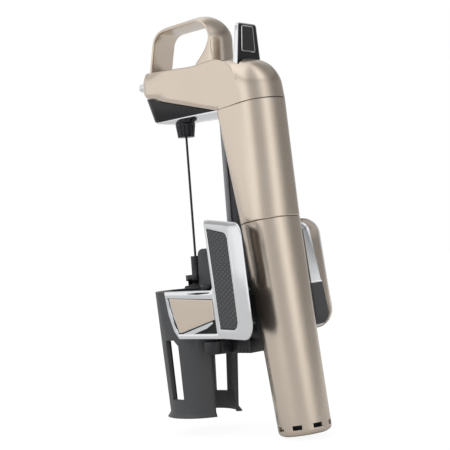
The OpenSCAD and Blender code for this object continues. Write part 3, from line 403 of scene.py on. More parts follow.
rows = [head_row(*line) for line in zip(*head_lines())]
rows += [nose_row(rows[-1], psi) for psi in np.linspace(0, math.pi / 2, 18)[1:]]
left_side = np.array(rows)
right_side = left_side[:, -2::-1] * np.array([1, -1, 1])
head = shape("head_shell", np.concatenate([left_side, right_side], 1),
             "handle", champagne, ["head_housing"])


def cut_box(piece, low, high):
    """Cuts a box-shaped slot out of a closed piece and keeps the result as its mesh."""
    x, y, z = np.meshgrid(*zip(low, high), indexing="ij")
    corners = np.stack([x, y, z], -1).reshape(-1, 3) * mm
    mesh = bpy.data.meshes.new("slot_block")
    mesh.from_pydata(corners.tolist(), [], [
        (0, 1, 3, 2), (4, 6, 7, 5), (0, 4, 5, 1), (2, 3, 7, 6), (0, 2, 6, 4), (1, 5, 7, 3)])
    block = bpy.data.objects.new("slot_block", mesh)
    scene.collection.objects.link(block)
    cut = piece.modifiers.new("slot", "BOOLEAN")
    cut.operation = "DIFFERENCE"
    cut.solver = "EXACT"
    cut.object = block
    bpy.context.view_layer.update()
    settled = piece.evaluated_get(bpy.context.evaluated_depsgraph_get())
    result = bpy.data.meshes.new_from_object(settled)
    piece.modifiers.clear()
    piece.data = result
    bpy.data.objects.remove(block)
    result.set_sharp_from_angle(angle=math.radians(34))


# The slot that the trigger's blade leans out of, open at the top
cut_box(head, (-47.2, -10.3, 114), (-39.9, 10.3, 140))

# ---- Carry loop ----
# A strap of the same casting that stands on the head: crowned outside, nearly flat inside, with
# thin rounded edges; its rear foot flares into the head's top.

# Width, thickness at the edge, crown, rounded edge, hollow inside and how much wider it gets
strap_w, strap_t, strap_crown, strap_round, strap_hollow, strap_more = 15.6, 1.4, 2.2, 0.45, 0.35, 0.9
# How much the rear foot thickens, the height where it is thickest and how far up that reaches
foot_flare, foot_z, foot_h = 9.6, 125, 15
strap_front_r, strap_rear_r = 9, 11
strap_front, strap_rear = np.array([15.7, 124.2]), np.array([-28.6, 124.2])
strap_front_top, strap_rear_top = np.array([10.4, 146.1]), np.array([-29.4, 147.9])


def round_corner(a, b, c, r, n):
    """Points of the arc of radius r that touches the lines a to b and b to c: its two end radii,
    mixed by the sines of the angles to come and passed."""
    u, v = (a - b) / np.linalg.norm(a - b), (c - b) / np.linalg.norm(c - b)
    half = math.acos(float(u @ v)) / 2
    centre = b + (u + v) / np.linalg.norm(u + v) * r / math.sin(half)
    p, q = b + u * r / math.tan(half) - centre, b + v * r / math.tan(half) - centre
    sweep = math.pi - 2 * half
    k = np.linspace(0, 1, n)[:, None]
    return centre + (p * np.sin(sweep * (1 - k)) + q * np.sin(sweep * k)) / math.sin(sweep)


def strap_rings():
    """Rings of the strap: a flattened lens carried along a rounded path up, over and down. Its
    outer side is a parabola across. It widens a little to the rear, and thickens inwards at the
    rear foot as the square of the height left to the foot's top."""
    path = np.vstack([
        np.linspace(strap_front, strap_front + (strap_front_top - strap_front) * 0.55, 8)[:-1],
        round_corner(strap_front, strap_front_top, strap_rear_top, strap_front_r, 16),
        round_corner(strap_front_top, strap_rear_top, strap_rear, strap_rear_r, 22),
        np.linspace(strap_rear_top + (strap_rear - strap_rear_top) * 0.5, strap_rear, 22)[1:]])
    way = np.gradient(path, axis=0)
    normal = np.stack([way[:, 1], -way[:, 0]], -1) / np.linalg.norm(way, axis=1)[:, None]
    normal = -normal if normal[len(path) // 2][1] < 0 else normal
    flare = foot_flare * np.clip(1 - (path[:, 1] - foot_z) / foot_h, 0, 1) ** 2
    flare = np.where(path[:, 0] < -20, flare, 0)
    s = np.linspace(-1, 1, 19)
    top = strap_crown * (1 - s ** 2)
    edge = np.linspace(0, math.pi, 7)[1:-1]
    rings = []
    for p, n, f in zip(path, normal, flare):
        half = strap_w / 2 - strap_round + strap_more * smooth(-p[0], -10, 28)
        inner = -strap_t - f - strap_hollow * (1 - s ** 2) * (f < 0.5)
        middle, reach = (-strap_t - f) / 2, (strap_t + f) / 2
        bulge = strap_round * np.sin(edge)
        flat = np.vstack([
            np.stack([s * half, top], -1),
            np.stack([half + bulge, middle + reach * np.cos(edge)], -1),
            np.stack([s[::-1] * half, inner[::-1]], -1),
            np.stack([-half - bulge, middle - reach * np.cos(edge)], -1)])
        rings.append(np.stack([p[0] + n[0] * flat[:, 1], flat[:, 0], p[1] + n[1] * flat[:, 1]], -1))
    return rings


shape("carry_strap", strap_rings(), "handle", champagne, ["carry_loop"])

# ---- Body shell and capsule cup ----
# Two drawn aluminium tubes in line with the handle. The body turns from a D section under the
# head into a circle; the cup below it screws on, with vents round its closed end.

cup_r, body_low, body_high = 14.55, 0.3, 57.7


def body_outline():
    """The D section at the head's seam: a half circle behind, flat sides, small front corners."""
    arc = np.linspace(math.pi / 2, 3 * math.pi / 2, 64)
    back = np.stack([-back_shift + back_r * np.cos(arc), back_r * np.sin(arc)], -1)
    inner, flank = front_x - corner_r, back_r - corner_r
    side = np.linspace(-back_shift, inner, 16)[1:-1]
    bend = np.linspace(-math.pi / 2, 0, 10)
    right = np.stack([inner + corner_r * np.cos(bend), -flank + corner_r * np.sin(bend)], -1)
    face = np.linspace(-flank, flank, 12)[1:-1]
    return np.vstack([
        back,
        np.stack([side, np.full_like(side, -back_r)], -1),
        right,
        np.stack([np.full_like(face, front_x), face], -1),
        (right * [1, -1])[::-1],
        np.stack([side[::-1], np.full_like(side, back_r)], -1)])


def body_rings():
    """Rings from a circle at the cup's seam to the D section at the head's, straight between
    them, with each end rounded over by a quarter of a millimetre."""
    upper = body_outline()
    angle = np.arctan2(upper[:, 1], upper[:, 0])
    lower = cup_r * np.stack([np.cos(angle), np.sin(angle)], -1)
    ease = np.array([0, 0.06, 0.14, 0.25])
    drawn = np.array([0.25, 0.13, 0.05, 0])
    h = np.concatenate([body_low + ease, np.linspace(1.0, 57, 24), (body_high - ease)[::-1]])
    inwards = np.concatenate([drawn, np.zeros(24), drawn[::-1]])
    rings = []
    for height, gap in zip(h, inwards):
        flat = lower + (upper - lower) * (height / seam_h)
        flat = flat * (1 - gap / np.linalg.norm(flat, axis=1))[:, None]
        rings.append(on_handle(flat[:, 0], flat[:, 1], height))
    return rings


shape("body_tube", body_rings(), "handle", champagne, ["body_shell"], sharp=50)


solid_merge = 3e-6  # metres within which points of a solid's mesh are one
flat_within = math.radians(0.6)  # faces that turn by less become one before edges are rounded


def refined(node, body, finish, angle=32, crisp=0.0):
    """A merged copy of a solid with smooth shading up to an angle in degrees or, if crisp is set,
    with its sharp edges rounded by that many millimetres. It stands for the solid."""
    mesh = nodes[node].data.copy()
    mesh.name = node + "_finished"
    work = bmesh.new()
    work.from_mesh(mesh)
    bmesh.ops.remove_doubles(work, verts=work.verts, dist=solid_merge)
    if crisp:
        bmesh.ops.dissolve_limit(
            work, angle_limit=flat_within, verts=work.verts, edges=work.edges)
    work.to_mesh(mesh)
    work.free()
    mesh.polygons.foreach_set("use_smooth", np.ones(len(mesh.polygons), bool))
    made = put(node + "_finished", mesh, finish, body, [node])
    if crisp:
        edge = made.modifiers.new("edge", "BEVEL")
        edge.width = crisp * mm
        edge.segments = 2
        edge.limit_method = "ANGLE"
        edge.angle_limit = math.radians(30)
        edge.harden_normals = True
    else:
        mesh.set_sharp_from_angle(angle=math.radians(angle))
        made.modifiers.new("even", "WEIGHTED_NORMAL").keep_sharp = True
    return made


refined("capsule_cup", "cup", champagne, angle=28)

# ---- Moulded black and grey plastics ----
# Cover, needle hub and guide are black ABS, and the needle is coated to match. Carriage, spine and
# rail foot are black nylon; sleeve, guide arm and flow block are glass-filled grey nylon off an
# eroded tool. Seals, shoe, stop and neck pads are black rubber.


def plastic(name, base, worn, rough, grit, depth, ior=1.5):
    """Moulded plastic: one even colour, dulled in places by a faint cloud in patches of 17 mm, and
    the grit of the tool as bump. grit is its count in a metre: at about a millimetre it is coarser
    than the real one, so that it shows."""
    made, tree, out = material(name)
    place = add(tree, "ShaderNodeTexCoord").outputs["Object"]
    cloud = add(tree, "ShaderNodeTexNoise", {"Vector": place, "Scale": 60.0, "Detail": 3.0})
    tone = add(tree, "ShaderNodeMix", {
        0: cloud.outputs["Fac"], 6: linear(base), 7: linear(worn)}, data_type="RGBA")
    fine = add(tree, "ShaderNodeTexNoise", {"Vector": place, "Scale": grit, "Detail": 2.0})
    bump = add(tree, "ShaderNodeBump", {
        "Strength": depth, "Distance": 0.0001, "Height": fine.outputs["Fac"]})
    spread = add(tree, "ShaderNodeMapRange", {
        0: cloud.outputs["Fac"], 1: 0.3, 2: 0.7, 3: rough - 0.04, 4: rough + 0.04})
    skin = add(tree, "ShaderNodeBsdfPrincipled", {
        "Base Color": tone.outputs[2], "Roughness": spread.outputs[0],
        "Normal": bump.outputs[0], "IOR": ior})
    tree.links.new(skin.outputs[0], out.inputs["Surface"])
    return made


# ABS off a polished tool shows small sharp lights; a satin tool spreads them and deepens the black
gloss_black = plastic("gloss_black_abs", "#1b1b20", "#202026", 0.24, 900.0, 0.05)
cover_black = plastic("satin_black_abs", "#0c0c11", "#101016", 0.3, 1500.0, 0.08, ior=1.4)
# Smooth nylon has wide soft lights; glass-filled nylon off an eroded tool is grey and nearly matt
nylon_black = plastic("black_nylon", "#202124", "#26272a", 0.34, 1400.0, 0.15)
nylon_grey = plastic("dark_grey_nylon", "#47484a", "#4f5052", 0.5, 1600.0, 0.35)
# Pressed rubber is matt, and looks a little greyer than the black plastics beside it
rubber = plastic("black_rubber", "#2b2b2d", "#333335", 0.62, 1300.0, 0.3)

refined("underside_cover", "handle", cover_black, crisp=0.25)
for node, body in (
        ("needle_hub", "needle_unit"), ("needle", "needle_unit"), ("needle_guide", "carriage")):
    refined(node, body, gloss_black, angle=40)
for node, body in (
        ("manifold_block", "handle"), ("left_sleeve_half", "left_jaw"),
        ("right_sleeve_half", "right_jaw")):
    refined(node, body, nylon_grey, angle=30)

# The post's rounded top is 7% less deep than its foot, so its front clears the needle hub above.
guide_post = refined("guide_arm", "carriage", nylon_grey, angle=30)
post_back, post_bend_z, post_depth = -0.012, 0.029, 0.93  # metres, metres and a share
points = np.empty(len(guide_post.data.vertices) * 3)
guide_post.data.vertices.foreach_get("co", points)
points = points.reshape(-1, 3)
high = points[:, 2] > post_bend_z
points[high, 0] = post_back + (points[high, 0] - post_back) * post_depth
guide_post.data.vertices.foreach_set("co", points.ravel())
guide_post.data.update()

for node, body in (
        ("rail_spine", "handle"), ("rail_foot", "handle"), ("clamp_carriage", "carriage")):
    refined(node, body, nylon_black, crisp=0.4)
for node, body in (
        ("seam_gasket", "handle"), ("capsule_seal", "handle"), ("carriage_shoe", "carriage"),
        ("bottle_stop", "carriage"), ("left_neck_pad", "left_jaw"),
        ("right_neck_pad", "right_jaw"), ("cup_cushion", "cup")):
    refined(node, body, rubber, angle=30)

# ---- Metals ----
# Chrome is plated over moulded ABS on the levers, jaws, trigger and plate; the rail is extruded
# aluminium, anodised grey. Pins, screws, springs and tubes are bright stainless steel, the hinge
# pins blackened, and the bodies of valve and regulator are turned from brass.


def metal(name, base, rough, streak, depth):
    """Bare or plated metal: mirror-like, with faint polishing marks that vary its roughness by
    three tenths. streak is the number of marks in a metre along x, y and z, fewer than on the real
    metal, so that they show."""
    made, tree, out = material(name)
    place = add(tree, "ShaderNodeTexCoord").outputs["Object"]
    long_way = add(tree, "ShaderNodeMapping", {"Vector": place, "Scale": streak})
    marks = add(tree, "ShaderNodeTexNoise", {
        "Vector": long_way.outputs[0], "Scale": 1.0, "Detail": 3.0})
    spread = add(tree, "ShaderNodeMapRange", {
        0: marks.outputs["Fac"], 1: 0.3, 2: 0.7, 3: rough * 0.7, 4: rough * 1.3})
    bump = add(tree, "ShaderNodeBump", {
        "Strength": depth, "Distance": 0.00005, "Height": marks.outputs["Fac"]})
    skin = add(tree, "ShaderNodeBsdfPrincipled", {
        "Base Color": linear(base), "Metallic": 1.0, "Roughness": spread.outputs[0],
        "Normal": bump.outputs[0]})
    tree.links.new(skin.outputs[0], out.inputs["Surface"])
    return made


# Plated chrome mirrors the screens and their gaps, so that it reads as bands of white and grey
chrome = metal("chrome_plating", "#e9eaec", 0.09, (300, 300, 300), 0.02)
# Drawn and anodised aluminium smears the lights along the rail
rail_finish = metal("grey_anodised_aluminium", "#8b8c90", 0.4, (2500, 2500, 40), 0.25)
# Oxide gives steel a dull dark sheen; turned steel and brass are bright, with soft fine streaks
blackened = metal("blackened_steel", "#2c2d30", 0.35, (1200, 1200, 300), 0.1)
stainless = metal("turned_stainless", "#c4c5c7", 0.26, (1200, 1200, 300), 0.1)
brass = metal("machined_brass", "#c9a45c", 0.28, (1200, 1200, 300), 0.1)

refined("rail", "handle", rail_finish)
for node in ("manifold_plate", "spout_tube"):
    refined(node, "handle", chrome)
for node, body in (
        ("valve_spring", "handle"), ("gas_tube", "handle"), ("rail_pins", "handle"),
        ("body_screws", "handle"), ("regulator_spring", "handle"), ("piercing_pin", "handle"),
        ("trigger_pin", "handle"), ("valve_plunger", "plunger"), ("regulator_piston", "piston")):
    refined(node, body, stainless)
refined("hinge_pins", "carriage", blackened)
refined("clamp_springs", "carriage", stainless)
refined("gas_capsule", "capsule", stainless)
for node in ("valve_body", "regulator_body", "regulator_cap"):
    refined(node, "handle", brass)

# ---- Squeeze levers ----
# Each lever is a moulded ABS tray, chrome plated: a flat ridge round the grip, a broad bevel that
# falls away to the back edge, and an open inner side. It is one piece with its jaw plate.

arc_points, edge_points = 8, 7


def corner_ring(corners, radii):
    """A closed outline: an arc at each corner and even steps along each edge. Every ring made from
    as many corners has its points in the same places along it, so that rings join point to
    point."""
    corners = np.asarray(corners, float)
    after = np.roll(corners, -1, 0)
    arcs = [round_corner(corners[k - 1], corners[k], after[k], r, arc_points)
            for k, r in enumerate(radii)]
    steps = np.linspace(0, 1, edge_points + 2)[1:-1, None]
    line = []
    for k, arc in enumerate(arcs):
        end = arcs[(k + 1) % len(arcs)][0]
        line += [arc, arc[-1] + (end - arc[-1]) * steps]
    return np.vstack(line)


def edge_values(values):
    """One value for each edge of a corner_ring, which changes evenly round each corner."""
    parts = []
    for k, value in enumerate(values):
        parts += [np.linspace(values[k - 1], value, arc_points), np.full(edge_points, value)]
    return np.concatenate(parts)


def inset(corners, gaps):
    """Moves each edge of an outline inwards by its own gap and gives the new corners, where the
    moved edges cross."""
    corners, gaps = np.asarray(corners, float), np.asarray(gaps, float)
    after = np.roll(corners, -1, 0)
    way = after - corners
    way /= np.linalg.norm(way, axis=1)[:, None]
    inward = np.stack([-way[:, 1], way[:, 0]], -1)
    if np.sum(corners[:, 0] * after[:, 1] - after[:, 0] * corners[:, 1]) < 0:
        inward = -inward
    moved = corners + inward * gaps[:, None]
    u, before = np.roll(way, 1, 0), np.roll(moved, 1, 0)
    gap = moved - before
    along = gap[:, 0] * way[:, 1] - gap[:, 1] * way[:, 0]
    return before + u * (along / (u[:, 0] * way[:, 1] - u[:, 1] * way[:, 0]))[:, None]


def between(first, second, part):
    """The ring a part of the way from one ring to another."""
    return first + (second - first) * part


lever_lean, lean_from = 0.1, 14
lever_root = (-27.8, 21)  # x and y of the lever's face at its front edge
splay_cos, splay_sin = 0.9489, 0.3156  # of the 18.4 degrees by which the levers spread


def on_lever(flat, depth, side):
    """Points (s, z) of the lever's face at a depth into it; side is 1 for left, -1 for right."""
    flat, depth = np.asarray(flat, float), np.broadcast_to(depth, len(flat))
    return np.stack([
        lever_root[0] - splay_cos * flat[:, 0] - splay_sin * depth,
        side * (lever_root[1] + splay_sin * flat[:, 0] - splay_cos * depth), flat[:, 1]], -1)


def lever_corners(*corners):
    """Corners of the lever's face from pairs of s behind its front edge and z: the upright edges
    lean back by a tenth of the height that they lie below 14."""
    return [(s + lever_lean * (lean_from - z), z) for s, z in corners]


# Corners run from the front's foot up, over the top and down the back
lever_outer = lever_corners((1.2, -11.7), (-0.2, 46.7), (33.8, 43.3), (33.4, -11.7))
flange_corners = lever_corners((1.4, -11.3), (1.4, 44.9), (28.4, 42.0), (31.5, -11.1))
wall_corners = lever_corners((1.7, -10.9), (1.7, 43.6), (27.1, 40.4), (26.0, -10.4))
grip_corners = lever_corners((4.1, -6.9), (2.3, 42.2), (21.4, 39.0), (21.4, -6.9))
edge_line = corner_ring(lever_outer, (0.8, 1.2, 8.5, 9.5))
ridge_line = corner_ring(inset(lever_outer, (0.5, 2.0, 10, 2.8)), (0.6, 0.8, 5, 6))
flange_line = corner_ring(flange_corners, (0.5, 0.8, 5, 7))
wall_line = corner_ring(wall_corners, (0.5, 0.6, 4, 5))
hollow_line = corner_ring(inset(wall_corners, (1.2, 1.2, 1.2, 1.2)), (0.5, 0.6, 3, 4))
bed_line = corner_ring(inset(wall_corners, (2.2, 2.2, 3, 2.2)), (0.5, 0.6, 3, 4))
grip_line = corner_ring(grip_corners, (0.5, 0.5, 4.5, 4.5))
bevel = edge_values((0.5, 1.3, 0.05, 1.2))  # how far the face falls to the edge
raised = edge_values((0.0, 0.0, -0.7, -0.1))  # how far the ridge stands out


def wall_depth(flat):
    """How deep the wall reaches: 5.2 mm, less a tenth of what a point lies further back than 18."""
    s = flat[:, 0] - lever_lean * (lean_from - flat[:, 1])
    return 5.2 - 0.1 * np.clip(s - 18, 0, 10)


def lever_rings(side):
    """Rings from the middle of the open inner side over its rim, down the slanted wall to the thin
    flange, round the edge and over the bevel to the flat ridge, and in to the bed of the grip."""
    deep = wall_depth(wall_line)
    rings = (
        (bed_line, 2.4),
        (hollow_line, 2.7),
        (hollow_line, deep + 0.1),
        (between(hollow_line, wall_line, 0.3), deep + 0.35),
        (between(hollow_line, wall_line, 0.8), deep + 0.3),
        (wall_line, deep),
        (between(wall_line, flange_line, 0.95), bevel + 0.86),
        (flange_line, bevel + 0.66),
        (between(flange_line, edge_line, 0.07), bevel + 0.64),
        (between(flange_line, edge_line, 0.88), bevel + 0.64),
        (between(flange_line, edge_line, 0.95), bevel + 0.6),
        (edge_line, bevel + 0.45),
        (edge_line, bevel + 0.2),
        (between(edge_line, ridge_line, 0.04), bevel * 0.96 - 0.03),
        (between(edge_line, ridge_line, 0.1), bevel * 0.9 + raised * 0.1 - 0.05),
        (between(edge_line, ridge_line, 0.93), bevel * 0.07 + raised * 0.93 - 0.02),
        (ridge_line, raised + 0.04),
        (between(ridge_line, grip_line, 0.08), raised),
        (between(ridge_line, grip_line, 0.9), raised * 0.7),
        (grip_line, raised * 0.6 + 0.06),
        (grip_line, 0.9))
    return [on_lever(flat, depth, side) for flat, depth in rings]


# The sheet on the bed under each pad is matt black as painted shade, so that it shows as a dark line
# round the pad; the same painted shade darkens the jaw's opening and its notch
painted_shade_black = plastic("painted_shade_matt_black", "#0c0c0d", "#101011", 0.6, 900.0, 0.05)
# The lining is a nylon block in the tray's lower part, under a thin chromed strip
liner_foot = corner_ring(
    lever_corners((2.2, -10.5), (2.2, 11.4), (30.5, 11.4), (31.5, -10.5)), (1, 0.4, 0.5, 6))
liner_top = corner_ring(
    lever_corners((2.2, -10.2), (2.2, 11.2), (26.6, 11.2), (26.3, -10.2)), (1, 0.4, 0.5, 5))
strip_foot = corner_ring(
    lever_corners((2.2, 11.5), (2.2, 12.4), (30.7, 12.4), (30.8, 11.5)), (0.3,) * 4)
strip_top = corner_ring(
    lever_corners((2.2, 11.6), (2.2, 12.3), (26.5, 12.3), (26.5, 11.6)), (0.3,) * 4)
for name, side in (("left", 1), ("right", -1)):
    jaw = name + "_jaw"
    shape(name + "_lever_tray", lever_rings(side), jaw, chrome,
          [name + "_jaw_frame"], sharp=40)
    shape(name + "_lever_lining", [
        on_lever(liner_foot, 1.0, side), on_lever(liner_foot, 1.4, side),
        on_lever(liner_top, wall_depth(liner_top) + 0.3, side),
        on_lever(between(liner_top, liner_top.mean(0), 0.03), wall_depth(liner_top) + 0.5, side)],
        jaw, nylon_grey, [name + "_lever_liner"])
    shape(name + "_lever_strip", [
        on_lever(strip_foot, 1.0, side), on_lever(strip_foot, 1.6, side),
        on_lever(strip_top, wall_depth(strip_top) + 0.65, side)], jaw, chrome)
    # A thin matt black sheet on the pad's bed: painted shade in the groove round the pad
    shape(name + "_grip_bed", [
        on_lever(grip_line, 0.82, side), on_lever(grip_line, 0.88, side)],
        jaw, painted_shade_black)

# ---- Grip pads ----
# A charcoal rubber pad is glued into each lever, a third of a millimetre short of its bed all
# round, and moulded with staggered rows of low round pimples.

pimple_step, pimple_rise = 0.0042, 0.0022


def pimpled_rubber(name, base, high):
    """Matt rubber with staggered pimples, their tops painted paler as painted highlight: height is
    the product of two cosines, 4.2 mm apart along the lever and 2.2 mm up it, kept only where it is
    positive."""
    made, tree, out = material(name)
    place = add(tree, "ShaderNodeTexCoord").outputs["Object"]
    parts = add(tree, "ShaderNodeSeparateXYZ", {0: place})
    away = add(tree, "ShaderNodeMath", {0: parts.outputs["Y"]}, operation="ABSOLUTE")
    back = add(tree, "ShaderNodeMath", {
        0: parts.outputs["X"], 1: -splay_cos}, operation="MULTIPLY")
    along = add(tree, "ShaderNodeMath", {
        0: away.outputs[0], 1: splay_sin, 2: back.outputs[0]}, operation="MULTIPLY_ADD")
    leaned = add(tree, "ShaderNodeMath", {
        0: parts.outputs["Z"], 1: lever_lean, 2: along.outputs[0]}, operation="MULTIPLY_ADD")
    across = add(tree, "ShaderNodeMath", {
        0: leaned.outputs[0], 1: 2 * math.pi / pimple_step}, operation="MULTIPLY")
    upward = add(tree, "ShaderNodeMath", {
        0: parts.outputs["Z"], 1: 2 * math.pi / pimple_rise}, operation="MULTIPLY")
    first = add(tree, "ShaderNodeMath", {0: across.outputs[0]}, operation="COSINE")
    second = add(tree, "ShaderNodeMath", {0: upward.outputs[0]}, operation="COSINE")
    both = add(tree, "ShaderNodeMath", {
        0: first.outputs[0], 1: second.outputs[0]}, operation="MULTIPLY")
    pimple = add(tree, "ShaderNodeMapRange", {
        0: both.outputs[0], 1: 0.0, 2: 0.9}, interpolation_type="SMOOTHSTEP")
    # The pimple tops are painted paler: painted highlight
    tone = add(tree, "ShaderNodeMix", {
        0: pimple.outputs[0], 6: linear(base), 7: linear(high)}, data_type="RGBA")
    bump = add(tree, "ShaderNodeBump", {
        "Strength": 0.8, "Distance": 0.0004, "Height": pimple.outputs[0]})
    skin = add(tree, "ShaderNodeBsdfPrincipled", {
        "Base Color": tone.outputs[2], "Roughness": 0.55, "Normal": bump.outputs[0], "IOR": 1.5})
    tree.links.new(skin.outputs[0], out.inputs["Surface"])
    return made


# The paler grey is painted highlight on the pimple tops
grip_rubber = pimpled_rubber("charcoal_grip_rubber", "#3c3d3f", "#5c5d5f")
pad_line = corner_ring(inset(grip_corners, (0.3, 0.35, 0.6, 0.45)), (0.4, 0.4, 4, 4))
pad_top = corner_ring(inset(grip_corners, (0.6, 0.75, 1.0, 0.85)), (0.4, 0.4, 3.7, 3.7))
for name, side in (("left", 1), ("right", -1)):
    shape(name + "_pad", [
        on_lever(pad_line, 0.86, side), on_lever(pad_line, 0.1, side),
        on_lever(between(pad_line, pad_top, 0.3), -0.04, side), on_lever(pad_top, -0.1, side)],
        name + "_jaw", grip_rubber, [name + "_grip_pad"])

# ---- Jaw plates and inlays ----
# The chromed side plate of each jaw has a slanted front and a shallow bed that holds a champagne
# inlay plate, a chromed wedge below it, and an opening beside the lever, darkened with painted
# shade: a matt black sheet on the bed and in the notch.

jaw_y = 21


def on_jaw(flat, depth, side):
    """Points (x, z) of the jaw's outer side at a depth into it."""
    flat, depth = np.asarray(flat, float), np.broadcast_to(depth, len(flat))
    return np.stack([flat[:, 0], side * (jaw_y - depth), flat[:, 1]], -1)


jaw_corners = [
    (4.4, 12), (2.3, 0.5), (-0.6, -7.6), (-3.8, -11.8), (-32, -11.8), (-30.2, 15.5),
    (-28.7, 15.5), (-27.9, 12)]
bed_corners = [
    (2.6, 8.9), (0.9, 2), (-1.3, -4.6), (-3.6, -9.2), (-29.6, -9.2), (-28.6, 2), (-28.3, 6.5),
    (-28.2, 7.7)]
inlay_corners = [(1.1, 8.6), (-1.0, 0.0), (-4.2, -8.6), (-5.9, -8.6), (-28.1, -2.3), (-27.3, 7.3)]
rim_corners = [(2.2, 8.8), (0.4, 0.6), (-3.6, -8.9), (-5.9, -8.9), (-28.4, -2.6), (-27.6, 7.5)]
wedge_corners = [(-6.6, -9.2), (-12.9, -9.6), (-22.4, -6.9), (-27.0, -4.3), (-27.2, -3.2)]
notch_corners = [(-9.9, 10.7), (-18.4, 10.1), (-26.3, 10.6), (-26.3, 11.1), (-18, 11.15)]
jaw_line = corner_ring(jaw_corners, (0.5, 6, 4, 1.6, 0.3, 0.3, 0.3, 1.8))
jaw_face = corner_ring(inset(jaw_corners, (0.35,) * 8), (0.4, 5.6, 3.7, 1.3, 0.2, 0.2, 0.2, 2.1))
jaw_bed = corner_ring(bed_corners, (0.4, 5, 3, 0.8, 0.6, 0.3, 0.2, 0.3))
inlay_line = corner_ring(inlay_corners, (0.3, 5, 0.8, 0.8, 0.4, 0.4))
inlay_face = corner_ring(inset(inlay_corners, (0.25,) * 6), (0.25, 4.8, 0.7, 0.7, 0.3, 0.3))
rim_line = corner_ring(rim_corners, (0.3, 5, 0.8, 0.8, 0.4, 0.4))
wedge_line = corner_ring(wedge_corners, (0.1, 1.5, 1.5, 0.2, 0.2))
wedge_face = corner_ring(inset(wedge_corners, (0.12,) * 5), (0.1, 1.4, 1.4, 0.15, 0.15))
notch_line = corner_ring(notch_corners, (0.1, 6, 0.2, 0.2, 6))
for name, side in (("left", 1), ("right", -1)):
    jaw = name + "_jaw"
    shape(name + "_jaw_plate", [
        on_jaw(jaw_line, 1.8, side), on_jaw(jaw_line, 0.35, side),
        on_jaw(between(jaw_line, jaw_face, 0.5), 0.1, side), on_jaw(jaw_face, 0, side),
        on_jaw(between(jaw_face, jaw_bed, 0.93), 0, side), on_jaw(jaw_bed, 0.1, side),
        on_jaw(jaw_bed, 1.3, side)],
        jaw, chrome, [name + "_jaw_frame"], sharp=40)
    # A thin matt black sheet on the jaw's bed: painted shade in the opening beside the lever
    shape(name + "_jaw_bed", [on_jaw(jaw_bed, 1.25, side), on_jaw(jaw_bed, 1.15, side)],
          jaw, painted_shade_black)
    shape(name + "_jaw_wedge", [
        on_jaw(wedge_line, 1.2, side), on_jaw(wedge_line, 0.3, side),
        on_jaw(wedge_face, 0.15, side)], jaw, chrome)
    shape(name + "_inlay_rim", [
        on_jaw(rim_line, 1.2, side), on_jaw(rim_line, 1.0, side), on_jaw(inlay_line, 0.4, side),
        on_jaw(inlay_face, 0.5, side)], jaw, chrome)
    # A matt black sliver in the notch: painted shade
    shape(name + "_jaw_notch", [on_jaw(notch_line, 0.3, side), on_jaw(notch_line, -0.03, side)],
          jaw, painted_shade_black)
    shape(name + "_inlay", [
        on_jaw(inlay_line, 1.2, side), on_jaw(inlay_line, 0.55, side),
        on_jaw(between(inlay_line, inlay_face, 0.4), 0.4, side), on_jaw(inlay_face, 0.35, side)],
        jaw, champagne, [name + "_inlay_plate"])

# ---- Thumb trigger ----
# A moulded, chromed blade that leans back out of its slot. Its back is glossy black, with a dark
# rubber panel in a thin raised rim where the thumb presses. Its stem turns on a steel pin.

# The front face at the blade's foot, the foot's and the blade's height, and how far it leans
blade_x, blade_foot, blade_h, blade_lean = -42.5, 118, 23.7, 1.66
stem_top = 0.1181  # metres


def on_trigger(flat, depth):
    """Points (y, z) of the blade at a depth behind its leaning front face. Depths are those at the
    blade's base, and shrink by a third up to its thin top."""
    flat, depth = np.asarray(flat, float), np.broadcast_to(depth, len(flat))
    up = (flat[:, 1] - blade_foot) / blade_h
    x = blade_x - up * blade_lean - depth * (1 - up / 3)
    return np.stack([x, flat[:, 0], flat[:, 1]], -1)


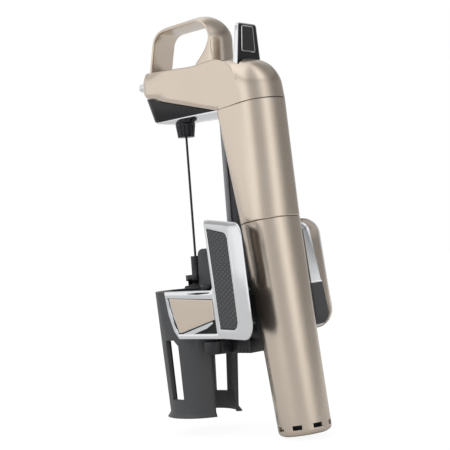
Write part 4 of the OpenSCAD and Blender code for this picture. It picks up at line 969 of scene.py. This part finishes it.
def below(node, height, body, finish):
    """The part of a solid below a height, closed where it is cut."""
    mesh = nodes[node].data.copy()
    work = bmesh.new()
    work.from_mesh(mesh)
    bmesh.ops.remove_doubles(work, verts=work.verts, dist=solid_merge)
    bmesh.ops.bisect_plane(
        work, geom=work.verts[:] + work.edges[:] + work.faces[:], dist=1e-7,
        plane_co=(0, 0, height), plane_no=(0, 0, 1), clear_outer=True)
    bmesh.ops.holes_fill(work, edges=[edge for edge in work.edges if edge.is_boundary])
    work.to_mesh(mesh)
    work.free()
    mesh.polygons.foreach_set("use_smooth", np.ones(len(mesh.polygons), bool))
    mesh.set_sharp_from_angle(angle=math.radians(30))
    put(node + "_stem", mesh, finish, body, [node])


blade_front = [(-9.9, 118), (9.9, 118), (7.1, 141.7), (-7.1, 141.7)]
blade_back = [(-9.7, 118), (9.7, 118), (7.0, 141.3), (-7.0, 141.3)]
panel = [(-4.7, 127.9), (4.7, 127.9), (3.9, 139.8), (-3.9, 139.8)]
front_line = corner_ring(blade_front, (0.3, 0.3, 2.2, 2.2))
front_face = corner_ring(inset(blade_front, (0.3,) * 4), (0.2, 0.2, 1.9, 1.9))
back_line = corner_ring(blade_back, (0.3, 0.3, 1.6, 1.6))
surround = corner_ring(inset(blade_back, (0.5,) * 4), (0.3, 0.3, 1.3, 1.3))
panel_rim = corner_ring(inset(panel, (-0.55,) * 4), (0.9,) * 4)
panel_line = corner_ring(panel, (0.6,) * 4)
panel_face = corner_ring(inset(panel, (0.3,) * 4), (0.5,) * 4)
shape("trigger_blade", [
    on_trigger(front_face, 0), on_trigger(between(front_line, front_face, 0.4), 0.06),
    on_trigger(front_line, 0.25), on_trigger(front_line, 1.0),
    on_trigger(between(front_line, back_line, 0.06), 1.2),
    on_trigger(between(front_line, back_line, 0.94), 2.65),
    on_trigger(between(back_line, panel_rim, 0.05), 2.8),
    on_trigger(between(back_line, panel_rim, 0.9), 2.8), on_trigger(panel_rim, 2.86),
    on_trigger(between(panel_rim, panel_line, 0.3), 3.08),
    on_trigger(between(panel_rim, panel_line, 0.8), 3.1),
    on_trigger(panel_line, 3.04), on_trigger(panel_line, 2.3)],
    "trigger", chrome, ["trigger_lever"], sharp=40)
below("trigger_lever", stem_top, "trigger", chrome)
shape("trigger_surround", [
    on_trigger(surround, 2.4), on_trigger(surround, 2.82),
    on_trigger(between(surround, panel_rim, 0.06), 2.87)],
    "trigger", gloss_black)
shape("thumb_panel", [
    on_trigger(panel_line, 2.5), on_trigger(panel_line, 2.94), on_trigger(panel_face, 3.04)],
    "trigger", rubber, ["trigger_pad"])
